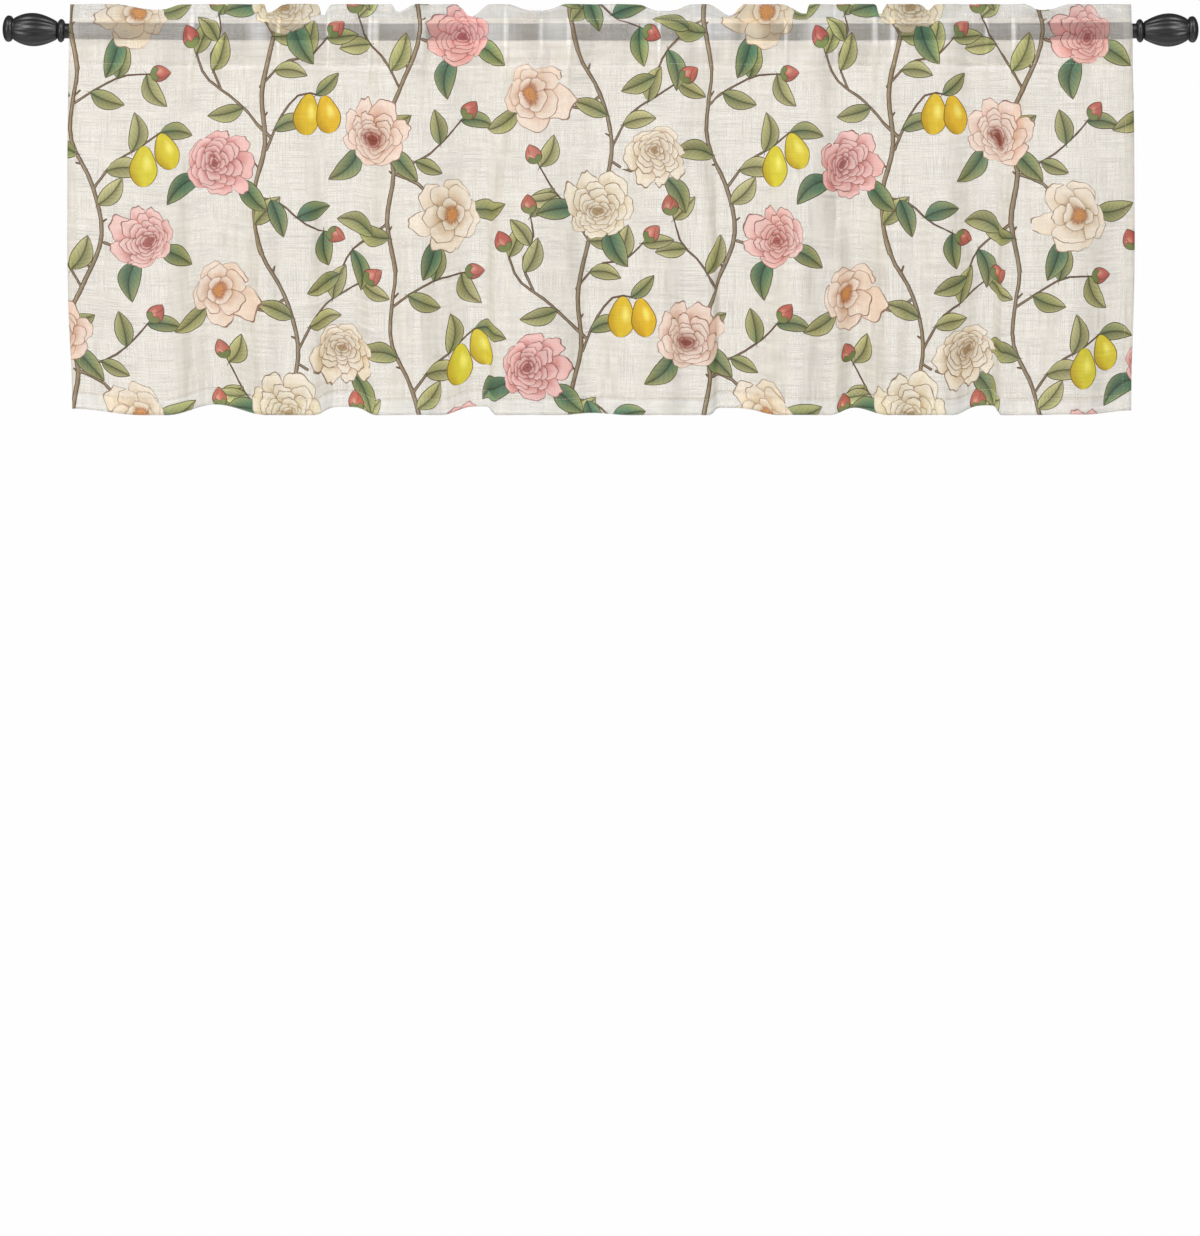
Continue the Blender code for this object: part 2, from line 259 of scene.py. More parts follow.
# dips in the ruffle's top edge: at, left, right, drop, lean back, crisp
headingDips = np.array([
    (-0.4940, 0.0480, 0.0260, 0.0062, 0.0050, 1.3),
    (-0.3725, 0.0040, 0.0210, 0.0098, -0.0040, 1.0),
    (-0.3110, 0.0060, 0.0100, 0.0140, 0.0045, 1.0),
    (-0.2275, 0.0070, 0.0230, 0.0088, -0.0050, 1.0),
    (-0.1450, 0.0165, 0.0210, 0.0142, 0.0055, 1.0),
    (-0.0714, 0.0340, 0.0340, 0.0072, -0.0045, 1.8),
    (0.0714, 0.0290, 0.0310, 0.0072, 0.0050, 2.0),
    (0.1455, 0.0260, 0.0160, 0.0130, -0.0055, 1.0),
    (0.2297, 0.0270, 0.0045, 0.0108, 0.0045, 1.0),
    (0.3128, 0.0058, 0.0070, 0.0126, -0.0040, 1.0),
    (0.3670, 0.0100, 0.0080, 0.0066, 0.0040, 1.0),
    (0.4923, 0.0190, 0.0350, 0.0068, -0.0050, 1.3),
])

# where the pocket is drawn tight on to the rod, and how fully it stands off to the right of that
gathers = np.array([
    (-0.5937, 0.8), (-0.5270, 1.0), (-0.4588, 0.9), (-0.4276, 1.0), (-0.3919, 0.8), (-0.3629, 1.1),
    (-0.3050, 0.9), (-0.2581, 0.8), (-0.2291, 1.1), (-0.1900, 0.9), (-0.1444, 0.8), (-0.1054, 1.1),
    (-0.0550, 0.9), (-0.0060, 1.0), (0.0396, 0.8), (0.0652, 1.1), (0.1075, 0.7), (0.1277, 1.1),
    (0.1745, 0.9), (0.2180, 1.0), (0.2604, 1.0), (0.3140, 0.9), (0.3674, 1.1), (0.4120, 0.8),
    (0.4577, 1.0), (0.5080, 0.9), (0.5500, 0.9), (0.5937, 0.0),
])

# folds below the pocket: at the hem, lean to the right higher up, left, right, back, lift, crisp
folds = np.array([
    (-0.5940, 0.000, 0.020, 0.080, -0.0095, 0.0070, 1.0),
    (-0.4340, -0.022, 0.054, 0.060, 0.0165, 0.0124, 1.0),
    (-0.3780, 0.000, 0.018, 0.024, -0.0065, 0.0000, 1.0),
    (-0.2880, 0.002, 0.034, 0.036, 0.0110, 0.0095, 2.4),
    (-0.2050, 0.010, 0.040, 0.032, -0.0120, 0.0000, 1.0),
    (-0.1305, 0.012, 0.048, 0.0120, 0.0100, 0.0100, 2.2),
    (-0.0780, 0.006, 0.040, 0.045, -0.0090, 0.0000, 1.0),
    (-0.0100, 0.004, 0.036, 0.044, 0.0110, 0.0028, 1.0),
    (0.0720, 0.002, 0.036, 0.022, -0.0100, 0.0000, 1.0),
    (0.1348, -0.004, 0.0120, 0.065, 0.0100, 0.0085, 2.2),
    (0.2180, 0.006, 0.034, 0.034, -0.0120, 0.0000, 1.0),
    (0.2840, -0.010, 0.028, 0.038, 0.0150, 0.0088, 1.0),
    (0.3225, 0.002, 0.016, 0.024, -0.0070, 0.0000, 1.0),
    (0.3760, -0.006, 0.026, 0.026, -0.0090, 0.0000, 1.0),
    (0.4360, 0.016, 0.042, 0.0120, 0.0105, 0.0112, 2.2),
    (0.5200, -0.004, 0.042, 0.050, -0.0110, 0.0005, 1.0),
    (0.5940, 0.000, 0.058, 0.020, 0.0095, 0.0055, 1.0),
])

# soft creases: x, lean, top, bottom, depth (back), half width
creases = np.array([
    (-0.4620, 0.004, -0.040, -0.300, 0.0022, 0.0070),
    (-0.3890, -0.002, -0.050, -0.428, 0.0018, 0.0050),
    (-0.3160, 0.002, -0.160, -0.428, 0.0026, 0.0045),
    (-0.2520, -0.003, -0.060, -0.428, 0.0018, 0.0060),
    (-0.1210, 0.004, -0.120, -0.428, 0.0020, 0.0050),
    (0.0760, 0.002, -0.060, -0.350, 0.0020, 0.0055),
    (0.1235, -0.003, -0.160, -0.428, 0.0022, 0.0045),
    (0.2570, 0.004, -0.090, -0.428, 0.0020, 0.0055),
    (0.3230, 0.002, -0.040, -0.420, 0.0026, 0.0060),
    (0.3740, -0.002, -0.090, -0.400, 0.0014, 0.0050),
    (0.4620, 0.006, -0.040, -0.400, 0.0018, 0.0065),
])

# where the pocket is bunched on the rod: x, half width, strength
pinches = np.array([
    (-0.4566, 0.0034, 0.80), (-0.4270, 0.0032, 0.80), (-0.3830, 0.0100, 0.45), (-0.3596, 0.0026, 0.35),
    (-0.3038, 0.0030, 0.55), (-0.2576, 0.0024, 0.90), (-0.2514, 0.0046, 0.35), (-0.2001, 0.0068, 0.30),
    (-0.1366, 0.0310, 0.50), (-0.1058, 0.0030, 0.85), (-0.0663, 0.0026, 0.50), (-0.0496, 0.0140, 0.35),
    (-0.0351, 0.0030, 0.85), (0.0507, 0.0130, 0.35), (0.0652, 0.0024, 0.60), (0.1143, 0.0088, 0.85),
    (0.1355, 0.0130, 0.45), (0.1689, 0.0100, 0.50), (0.2068, 0.0026, 0.35), (0.2470, 0.0165, 0.50),
    (0.2626, 0.0026, 0.55), (0.3061, 0.0036, 0.60), (0.3261, 0.0036, 0.45), (0.3830, 0.0100, 0.40),
    (0.4310, 0.0026, 0.40), (0.4611, 0.0026, 0.80),
])

# faint unevenness of the whole cloth, as crossed sines: height, length across, length down, phase
wrinkles = [(0.00022, 0.031, 0.210, 0.0), (0.00020, 0.019, -0.160, 1.7), (0.00030, 0.073, 0.095, 0.6)]


def smoothStep(value):
    # 3 s^2 - 2 s^3 from 0 to 1
    value = np.clip(value, 0.0, 1.0)
    return value * value * (3.0 - 2.0 * value)


def bell(x, at, left, right, crisp=1.0):
    # b = (1 + cos(pi s)) / 2 with s the share of the reach; flattened as 1 - (1 - b) ** crisp
    share = np.clip(np.abs(x - at) / np.where(x < at, left, right), 0.0, 1.0)
    return 1.0 - (0.5 - 0.5 * np.cos(math.pi * share)) ** crisp


def headingHeight(x):
    # the heading's top, less each dip's drop times its bell
    drop = sum(dip[3] * bell(x, dip[0], dip[1], dip[2], dip[5]) for dip in headingDips)
    return cloth["headingTop"] - drop


def hemHeight(x):
    # the hem's edge, plus each fold's lift times its bell
    return cloth["hemEdge"] + sum(f[5] * bell(x, f[0], f[2], f[3], f[6]) for f in folds)


def puff(x):
    # the pocket's stand-off: an arch |sin(pi s)| ** power between neighbouring gathers
    slot = np.clip(np.searchsorted(gathers[:, 0], x) - 1, 0, len(gathers) - 2)
    start = gathers[slot, 0]
    width = gathers[slot + 1, 0] - start
    arch = np.abs(np.sin(math.pi * np.clip((x - start) / width, 0.0, 1.0))) ** cloth["puffPower"]
    return gathers[slot, 1] * cloth["puffShare"] * width * arch


def pleats(x):
    # the narrow pinches as small ridges exp(-(distance / width)^2) towards the viewer
    ridge = 0.0
    for at, half, strength in pinches:
        if half < cloth["narrowPinch"]:
            shape = np.exp(-((x - at) / (cloth["pleatWidth"] * half)) ** 2)
            ridge = ridge + cloth["pleatHeight"] * strength * shape
    return ridge


def wrinkle(x, z):
    # sum of height sin(2 pi (x / across + z / down) + phase)
    return sum(height * np.sin(tau * (x / across + z / down) + phase)
               for height, across, down, phase in wrinkles)


def drape(x, z):
    # y of the single cloth: the folds' bells, growing down from the seam, the creases, less the gathers'
    # ripple and the pleats, which both fade exponentially below the seam
    below = cloth["pocketSeam"] - z
    grown = smoothStep((below - cloth["foldStart"]) / (cloth["foldFull"] - cloth["foldStart"]))
    strength = cloth["seamFoldShare"] + (1.0 - cloth["seamFoldShare"]) * grown
    softening = 1.0 + cloth["seamSoftening"] * (1.0 - grown)
    depth = 0.0
    for at, lean, left, right, back, _, crisp in folds:
        place = at + lean * (1.0 - grown)
        depth = depth + back * bell(x, place, left * softening, right * softening, crisp)
    trough = 0.0
    for at, lean, top, bottom, back, half in creases:
        along = np.clip((top - z) / (top - bottom), 0.0, 1.0)
        fade = np.sin(math.pi * (along * cloth["creaseEnd"]))
        place = at + lean * (1.0 - along)
        trough = trough + back * fade * np.exp(-((x - place) / half) ** 2)
    below = np.maximum(below, 0.0)
    ripple = (puff(x) - cloth["meanPuff"]) * np.exp(-below / cloth["rippleFade"])
    ripple = ripple + pleats(x) * np.exp(-below / cloth["pleatFade"])
    return strength * depth + trough - ripple + wrinkle(x, z)


def ruffle(x, z):
    # y of the heading above its seam: each dip leans, and the gathers go on as a ripple
    rise = smoothStep((z - cloth["headingSeam"]) / (cloth["headingTop"] - cloth["headingSeam"]))
    wider, further = cloth["ruffleSpread"]
    lean = sum(d[4] * bell(x, d[0], d[1] * wider + further, d[2] * wider + further) for d in headingDips)
    ripple = cloth["ruffleRipple"] * (puff(x) - cloth["meanPuff"])
    return rise * (lean - ripple) - pleats(x) * cloth["rufflePleat"]


def offSurface(surface, x, z, offset):
    # the point at x, z of y = surface(x, z), moved along the surface's normal
    step = 0.0005
    slopeX = (surface(x + step, z) - surface(x - step, z)) / (2.0 * step)
    slopeZ = (surface(x, z + step) - surface(x, z - step)) / (2.0 * step)
    length = np.sqrt(1.0 + slopeX ** 2 + slopeZ ** 2)
    y = surface(x, z)
    return np.stack([x - offset * slopeX / length, y + offset / length, z - offset * slopeZ / length], -1)


def pocketRow(x, share, side):
    # Share 0 at the pocket's seam, 1 at the heading's; straight to the rod, round it, and straight on.
    # The puffs come in as sin(pi s)^0.7, s = 1 at their end, and the pleats as 12 s (1 - s), at most 1.
    wrap = cloth["rodWrap"]
    half = cloth["layerSpacing"] / 2.0
    low = math.atan2(cloth["pocketSeam"], half) + math.acos(wrap / math.hypot(cloth["pocketSeam"], half))
    high = math.atan2(cloth["headingSeam"], half) - math.acos(wrap / math.hypot(cloth["headingSeam"], half))
    reach = math.sqrt(cloth["pocketSeam"] ** 2 + half ** 2 - wrap ** 2)
    neck = math.sqrt(cloth["headingSeam"] ** 2 + half ** 2 - wrap ** 2)
    along = share * (reach + wrap * (high - low) + neck)
    if along < reach:
        mix = along / reach
        out = half + (wrap * math.cos(low) - half) * mix
        z = cloth["pocketSeam"] + (wrap * math.sin(low) - cloth["pocketSeam"]) * mix
    elif along < reach + wrap * (high - low):
        angle = low + (along - reach) / wrap
        out, z = wrap * math.cos(angle), wrap * math.sin(angle)
    else:
        mix = (along - reach - wrap * (high - low)) / neck
        out = wrap * math.cos(high) + (half - wrap * math.cos(high)) * mix
        z = wrap * math.sin(high) + (cloth["headingSeam"] - wrap * math.sin(high)) * mix
    free = math.sin(math.pi * min(share / cloth["puffEnd"], 1.0)) ** 0.7
    joined = smoothStep((cloth["pocketJoin"] - z) / (cloth["pocketJoin"] - cloth["pocketSeam"]))
    middle = joined * drape(x, cloth["pocketSeam"])
    y = middle + side * (out + free * puff(x) + pleats(x) * min(1.0, 12.0 * share * (1.0 - share)))
    return np.stack([x, y, np.full_like(x, z)], -1)


def clothSection():
    # Rows of the cut cloth as (zone, share, side, flat height): up behind, over, down, round the hem.
    # Side is 1 behind and -1 in front; at a round turn the share is an angle and the side is 0.
    body = cloth["pocketSeam"] - cloth["hemEdge"] - cloth["hemDepth"]
    seamFlat = cloth["pocketSeam"] - cloth["hemEdge"]
    neckFlat = cloth["headingSeam"] - cloth["hemEdge"]
    topFlat = cloth["headingTop"] - cloth["hemEdge"]
    pocketSteps = np.linspace(0.0, 1.0, 15)
    headSteps = np.linspace(0.0, 1.0, 7)[1:-1].tolist() + [0.92]
    roundTurn = [math.radians(angle) for angle in (60.0, 0.0, -60.0)]
    bodySteps = np.linspace(0.0, 1.0, int(body / cloth["rowStep"]) + 1)[1:]
    hemSteps = [0.8, 0.6, 0.4, 0.2, 0.07]
    rows = [("pocket", s, 1, 2 * topFlat - seamFlat - s * (neckFlat - seamFlat)) for s in pocketSteps]
    rows += [("heading", s, 1, 2 * topFlat - neckFlat - s * (topFlat - neckFlat)) for s in headSteps]
    rows += [("top", turn, 0, topFlat) for turn in roundTurn]
    rows += [("heading", s, -1, neckFlat + s * (topFlat - neckFlat)) for s in headSteps[::-1]]
    rows += [("pocket", s, -1, seamFlat + s * (neckFlat - seamFlat)) for s in pocketSteps[::-1]]
    rows += [("body", s, -1, seamFlat - s * body) for s in bodySteps]
    rows += [("hem", s, -1, s * cloth["hemDepth"]) for s in hemSteps]
    rows += [("edge", -turn, 0, 0.0) for turn in roundTurn[::-1]]
    rows += [("hem", s, 1, -s * cloth["hemDepth"]) for s in hemSteps[::-1] + [1.0]]
    return rows


def clothRow(x, zone, share, side):
    # the points of one row of the section, with a half circle of the layers' spacing at top and hem
    half = cloth["layerSpacing"] / 2.0
    if zone == "pocket":
        points = pocketRow(x, share, side)
    elif zone == "heading":
        height = cloth["headingSeam"] + share * (headingHeight(x) - cloth["headingSeam"])
        points = offSurface(ruffle, x, height, side * half)
    elif zone == "top":
        height = headingHeight(x) - half * (1.0 - math.cos(share))
        points = offSurface(ruffle, x, height, half * math.sin(share))
    elif zone == "body":
        height = cloth["pocketSeam"] + share * (hemHeight(x) + cloth["hemDepth"] - cloth["pocketSeam"])
        points = offSurface(drape, x, height, -half)
    elif zone == "edge":
        height = hemHeight(x) + half * (1.0 - math.cos(share))
        points = offSurface(drape, x, height, half * math.sin(share))
    else:
        points = offSurface(drape, x, hemHeight(x) + share * cloth["hemDepth"], side * half)
    # the sides bulge as sin(pi s), are drawn in near the hem, and are inset
    down = np.clip((cloth["headingTop"] - points[..., 2]) / (cloth["headingTop"] - cloth["hemEdge"]), 0, 1)
    swell = cloth["sideBulge"] * np.sin(math.pi * np.minimum(down / 0.9, 1.0))
    drawn = smoothStep((down - 0.7) / 0.3)
    left = swell - cloth["sideDraw"][0] * drawn - cloth["sideInset"][0]
    right = swell - cloth["sideDraw"][1] * drawn - cloth["sideInset"][1] * np.maximum(1.0 - 1.6 * down, 0.0)
    points[..., 0] *= 1.0 + np.where(points[..., 0] < 0.0, left, right) / cloth["halfWidth"]
    return points


def clothColumns():
    # an even spacing, with closer columns at the sharp sides of dips and folds
    half = cloth["halfWidth"]
    even = np.linspace(-half, half, int(2 * half / cloth["columnStep"]) + 1)
    sharp = []
    for at, left, right in np.concatenate([headingDips[:, :3], folds[:, [0, 2, 3]]]):
        for reach, sign in ((left, -1), (right, 1)):
            if reach < cloth["sharpReach"]:
                sharp += [at + sign * reach * share for share in (0.25, 0.5, 0.75, 1.0)]
    for at, reach, _ in pinches:
        if reach < cloth["narrowPinch"]:
            sharp += [at + reach * share for share in (-1.5, -0.8, -0.4, 0.0, 0.4, 0.8, 1.5)]
    for sign in (-1, 1):
        sharp += [sign * (half - cloth["sideHem"] + shift * cloth["hemRidge"]) for shift in (-1, 1)]
    columns = np.sort(np.concatenate([even, [x for x in sharp if abs(x) < half - 0.002]]))
    keep = np.concatenate([[True], np.diff(columns) > cloth["leastColumn"]])
    return columns[keep]


def gridNormals(points):
    # the cross product of the grid's two tangents, pointing out of the cloth's printed face
    along = np.gradient(points, axis=1)
    down = np.gradient(points, axis=0)
    normals = np.cross(down, along)
    return normals / np.maximum(np.linalg.norm(normals, axis=-1, keepdims=True), 1e-12)


columns = clothColumns()
section = clothSection()
clothMiddle = np.stack([clothRow(columns, zone, share, side) for zone, share, side, _ in section])
clothNormals = gridNormals(clothMiddle)
# the flat cloth's width is measured along the folds at mid-height
sample = np.linspace(-cloth["halfWidth"], cloth["halfWidth"], 4001)
midHeight = -0.25
sampleSteps = np.hypot(np.diff(sample), np.diff(drape(sample, midHeight)))
sampleLength = np.concatenate([[0.0], np.cumsum(sampleSteps)])
flatAcross = np.interp(columns, sample, sampleLength)
flatUp = np.array([row[3] for row in section])
print("cloth grid", len(section), "rows", len(columns), "columns, flat width", round(flatAcross[-1], 4))


# The printed trail, in millimetres of one repeat, across from its left side and up from its foot.
printing = {
    "repeat": (372.0, 452.0),
    "halfDrop": 226.0,             # each repeat to the right stands this much higher
    "start": (-250.0, -66.0),      # the first repeat's corner from the cloth's lower left corner
    "stemStep": 14.0,              # length of the straight pieces that a stem is made of
    "spurs": 62.0,                 # spacing of the short spurs on the thick stems
    "margin": 4.6,                 # a motif is known to faces this far outside it
    "far": 900.0,                  # how far off a motif is to a face that has none
    "repeatsAcross": range(-1, 6),
    "repeatsUp": range(-3, 4),
    "coverShare": 0.68,            # share of a blossom's radius within which it hides all else
    # kinds of printed face, from the plainest: how many motifs of each sort may lie on one face
    "kinds": [
        ("plain", 0, 0, 0, 0), ("stem", 3, 0, 0, 0), ("leaf", 2, 1, 0, 0), ("bloom", 0, 0, 0, 1),
        ("sprig", 4, 3, 1, 0), ("spray", 4, 3, 2, 1), ("posy", 1, 1, 0, 2), ("thicket", 5, 5, 0, 0),
        ("tangle", 4, 4, 1, 1),
    ],
    "sorts": ("stem", "leaf", "small", "bloom"),
    "mostLayers": (5, 5, 2, 2),
    "leafScale": 1.20,
    "leafUnder": 0.70,             # share of a blossom's radius at which its leaves begin
}

# stems: half width at the foot and at the tip, then their points
stems = [
    (2.7, 2.1, [(104, 20), (94, 80), (108, 140), (104, 200), (118, 262), (136, 320), (144, 370), (130, 425),
                (104, 472)]),
    (2.6, 2.0, [(260, 0), (250, 56), (258, 112), (246, 158), (266, 205), (288, 262), (278, 320), (254, 372),
                (256, 420), (260, 452)]),
    (1.9, 1.3, [(91, 78), (74, 94), (58, 112)]),
    (1.7, 1.3, [(131, 422), (104, 408), (66, 420)]),
    (1.7, 1.3, [(291, 256), (310, 252), (330, 262)]),
    (1.9, 1.4, [(261, 108), (288, 96), (314, 66)]),
    (1.5, 1.2, [(142, 350), (166, 338), (190, 350)]),
    (1.8, 1.1, [(114, 150), (70, 190), (36, 216), (22, 250)]),
]

# twigs: half width at the foot and tip, leaves, their length, their tone, then the points
twigs = [
    (1.4, 0.7, 3, 35, 0.30, [(52, 204), (40, 236), (52, 262), (48, 292)]),
    (1.5, 0.8, 2, 34, 0.40, [(110, 136), (126, 172), (148, 198), (172, 196)]),
    (1.4, 0.7, 3, 36, 0.70, [(90, 82), (122, 78), (152, 54), (182, 40)]),
    (1.4, 0.7, 3, 36, 0.30, [(145, 366), (166, 402), (194, 420), (226, 440)]),
    (1.5, 0.7, 3, 38, 0.66, [(251, 54), (228, 36), (206, 16), (192, -14)]),
    (1.4, 0.7, 3, 34, 0.18, [(266, 202), (246, 236), (224, 258), (214, 290)]),
    (1.5, 0.8, 3, 36, 0.42, [(279, 316), (302, 346), (330, 364), (358, 384)]),
    (1.4, 0.7, 3, 35, 0.50, [(256, 412), (284, 430), (312, 444), (344, 446)]),
    (1.4, 0.7, 3, 35, 0.30, [(117, 260), (96, 292), (74, 318), (56, 348)]),
    (1.3, 0.7, 3, 34, 0.55, [(262, 112), (296, 128), (322, 150), (342, 172)]),
    (1.3, 0.7, 3, 33, 0.20, [(102, 206), (128, 232), (160, 240), (184, 262)]),
]

# single leaves on stems: stem, share of its length, turn from its direction in degrees, length, tone
stemLeaves = [
    (0, 0.07, -52, 36, 0.30), (0, 0.52, -60, 34, 0.25), (0, 0.83, 52, 36, 0.55),
    (1, 0.08, 56, 36, 0.40), (1, 0.30, -58, 38, 0.65), (1, 0.66, -55, 35, 0.30), (1, 0.79, 60, 38, 0.50),
    (7, 0.34, 55, 36, 0.45), (7, 0.94, -40, 33, 0.25),
]

# leaves that come out from behind a blossom: blossom, direction, length, tone
bloomLeaves = [
    (0, 214, 42, 0.85), (0, 318, 40, 0.74), (1, 296, 42, 0.84), (1, 190, 38, 0.72), (2, 300, 38, 0.70),
    (3, 226, 42, 0.88), (3, 312, 40, 0.62), (4, 250, 40, 0.74), (4, 10, 38, 0.45), (5, 210, 38, 0.52),
    (6, 262, 40, 0.82), (6, 330, 36, 0.60),
]

# blossoms: centre, turn in degrees, radius, open (0 full rosette, 1 few wide petals), hue, seed
blossoms = [
    (54, 118, 20, 40, 0.0, 1.00, 0.13),
    (128, 302, 110, 41, 0.0, 0.05, 0.37),
    (194, 352, 250, 36, 0.0, 0.12, 0.71),
    (236, 156, 70, 39, 0.0, 0.50, 0.55),
    (318, 62, 200, 42, 1.0, 0.16, 0.29),
    (60, 420, 320, 40, 1.0, 0.40, 0.83),
    (332, 264, 150, 36, 0.0, 0.84, 0.47),
]

# fruit and buds: stalk end, direction in degrees, length, kind (0 fruit, 1 bud), hue, seed
smallMotifs = [
    (158, 198, -96, 46, 0.0, 0.75, 0.21), (176, 196, -78, 44, 0.0, 0.95, 0.64),
    (336, 366, -92, 46, 0.0, 0.15, 0.43), (354, 380, -72, 42, 0.0, 0.30, 0.82),
    (22, 248, 112, 25, 1.0, 0.50, 0.35), (180, 41, -24, 23, 1.0, 0.30, 0.58),
    (224, 439, 36, 24, 1.0, 0.70, 0.12), (213, 288, 100, 24, 1.0, 0.20, 0.77),
    (342, 446, 4, 23, 1.0, 0.60, 0.91), (56, 346, 112, 23, 1.0, 0.85, 0.26),
    (341, 170, 52, 24, 1.0, 0.40, 0.68), (48, 290, 96, 22, 1.0, 0.10, 0.49),
    (183, 260, 46, 23, 1.0, 0.75, 0.06),
]


def smoothLine(points, step):
    # a Catmull-Rom curve through the points, cut into pieces of about one step
    points = np.array(points, dtype=float)
    before, after = 2 * points[0] - points[1], 2 * points[-1] - points[-2]
    if np.allclose(points[-1] - points[0], (0.0, printing["repeat"][1])):
        # a stem that runs on into the next repeat keeps its direction there
        before = points[-2] - points[-1] + points[0]
        after = points[1] - points[0] + points[-1]
    ends = np.vstack([before, points, after])
    share = np.linspace(0.0, 1.0, 12, endpoint=False)[:, None]
    parts = []
    for a, b, c, d in zip(ends, ends[1:], ends[2:], ends[3:]):
        parts.append(0.5 * (2 * b + (c - a) * share + (2 * a - 5 * b + 4 * c - d) * share ** 2
                            + (3 * b - a - 3 * c + d) * share ** 3))
    line = np.vstack(parts + [points[-1:]])
    length = np.concatenate([[0.0], np.cumsum(np.hypot(*np.diff(line, axis=0).T))])
    places = np.linspace(0.0, length[-1], max(2, round(length[-1] / step) + 1))
    return np.stack([np.interp(places, length, line[:, 0]), np.interp(places, length, line[:, 1])], -1)


def trailMotifs():
    # rows for one repeat: foot, direction, along from, along to, half width, then what the shader reads
    lists = {"stem": [], "leaf": [], "small": [], "bloom": []}

    def addLeaf(place, angle, length, tone):
        bend = rng.uniform(-0.18, 0.18)
        tone = min(max(tone + rng.uniform(-0.16, 0.16), 0.0), 1.0)
        length = length * printing["leafScale"]
        wide = (0.27 + 0.8 * abs(bend)) * length
        lists["leaf"].append((*place, angle, -5.0, length, wide, length, tone, rng.random(), bend))

    def addStem(thick, thin, points):
        line = smoothLine(points, printing["stemStep"])
        widths = np.linspace(thick, thin, len(line))
        for start, end, wide, narrow in zip(line, line[1:], widths, widths[1:]):
            angle = math.atan2(end[1] - start[1], end[0] - start[0])
            length = math.dist(start, end)
            lists["stem"].append((*start, angle, -wide, length + wide, wide + 0.6, length, wide, narrow, 0.0))
        return line

    def placeOn(line, share):
        # the point at a share of the line, and the line's direction there
        spot = share * (len(line) - 1)
        before = min(int(spot), len(line) - 2)
        step = line[before + 1] - line[before]
        return line[before] + step * (spot - before), math.atan2(step[1], step[0])

    lines = [addStem(*stem) for stem in stems]
    for line in lines[:2]:
        count = int(len(line) * printing["stemStep"] / printing["spurs"])
        for number in range(count):
            place, heading = placeOn(line, (number + 0.3 + 0.4 * rng.random()) / count)
            turn = heading + math.radians(rng.uniform(40, 60)) * (1 if number % 2 else -1)
            length = rng.uniform(6.0, 10.0)
            addStem(1.3, 0.8, [place, place + length * np.array([math.cos(turn), math.sin(turn)])])
    for stem, share, turn, length, tone in stemLeaves:
        place, heading = placeOn(lines[stem], share)
        addLeaf(place, heading + math.radians(turn), length, tone)
    for thick, thin, count, size, tone, points in twigs:
        line = addStem(thick, thin, points)
        for number in range(count):
            place, heading = placeOn(line, 0.24 + 0.70 * number / (count - 1))
            turn = math.radians(rng.uniform(40, 62)) * (1 if number % 2 else -1)
            addLeaf(place, heading + turn, size * rng.uniform(0.82, 1.08), tone)
    for number, angle, length, tone in bloomLeaves:
        u, v, _, radius = blossoms[number][:4]
        angle = math.radians(angle)
        foot = printing["leafUnder"] * radius
        addLeaf((u + foot * math.cos(angle), v + foot * math.sin(angle)), angle, length, tone)
    for u, v, angle, length, kind, hue, seed in smallMotifs:
        wide = 0.40 * length if kind < 0.5 else 0.42 * length
        lists["small"].append((u, v, math.radians(angle), -2.0, length + 2.0, wide, length, kind, hue, seed))
    for u, v, angle, radius, opened, hue, seed in blossoms:
        lists["bloom"].append((u, v, math.radians(angle), -radius, radius, radius, radius, opened, hue, seed))
    return {name: np.array(rows) for name, rows in lists.items()}


def layMotifs(motifs, layers, corners):
    # For each layer, each face corner's place in the face's motif (across, along, size), and the look.
    # A motif takes the lowest layer that is still free on a face, so later motifs lie on earlier ones.
    centres = corners.mean(axis=1)
    places = np.full((layers, len(corners), 4, 3), printing["far"])
    looks = np.zeros((layers, len(corners), 3))
    taken = np.zeros(len(corners), dtype=int)
    hidden = np.zeros(len(corners), dtype=bool)
    lost = 0
    wide, high = printing["repeat"]
    lowest, highest = centres.min(axis=0), centres.max(axis=0)
    for across in printing["repeatsAcross"]:
        for up in printing["repeatsUp"]:
            shift = np.array(printing["start"]) + [across * wide, up * high + across * printing["halfDrop"]]
            for u, v, angle, low, top, half, size, lookA, lookB, lookC in motifs:
                foot = shift + [u, v]
                margin = printing["margin"]
                reach = max(abs(low), abs(top), half) + margin
                if np.any(foot + reach < lowest) or np.any(foot - reach > highest):
                    continue
                near = np.nonzero(np.abs(centres - foot).max(axis=1) < reach)[0]
                turn = np.array([[math.sin(angle), math.cos(angle)], [-math.cos(angle), math.sin(angle)]])
                local = (centres[near] - foot) @ turn
                inside = (np.abs(local[:, 0]) < half + margin)
                inside &= (local[:, 1] > low - margin) & (local[:, 1] < top + margin)
                hit = near[inside]
                free = hit[taken[hit] < layers]
                lost += len(hit) - len(free)
                slot = taken[free]
                places[slot, free, :, :2] = (corners[free] - foot) @ turn
                places[slot, free, :, 2] = size
                looks[slot, free] = (lookA, lookB, lookC)
                taken[free] += 1
                hidden[near[np.hypot(*local.T) < printing["coverShare"] * half - margin]] = True
    return places, looks, taken, hidden, lost


inkBrown = srgb(88, 64, 47)
inkGreen = srgb(66, 62, 38)


def palette(value, stops):
    # a colour ramp: stops are (place, red, green, blue) with colours as seen, 0 to 255
    node = value.tree.nodes.new("ShaderNodeValToRGB")
    feed(value.tree, value, node.inputs[0])
    marks = node.color_ramp.elements
    while len(marks) < len(stops):
        marks.new(1.0)
    for mark, (place, *colour) in zip(marks, stops):
        mark.position = place
        mark.color = (*srgb(*colour), 1.0)
    return Wire(value.tree, node.outputs[0])


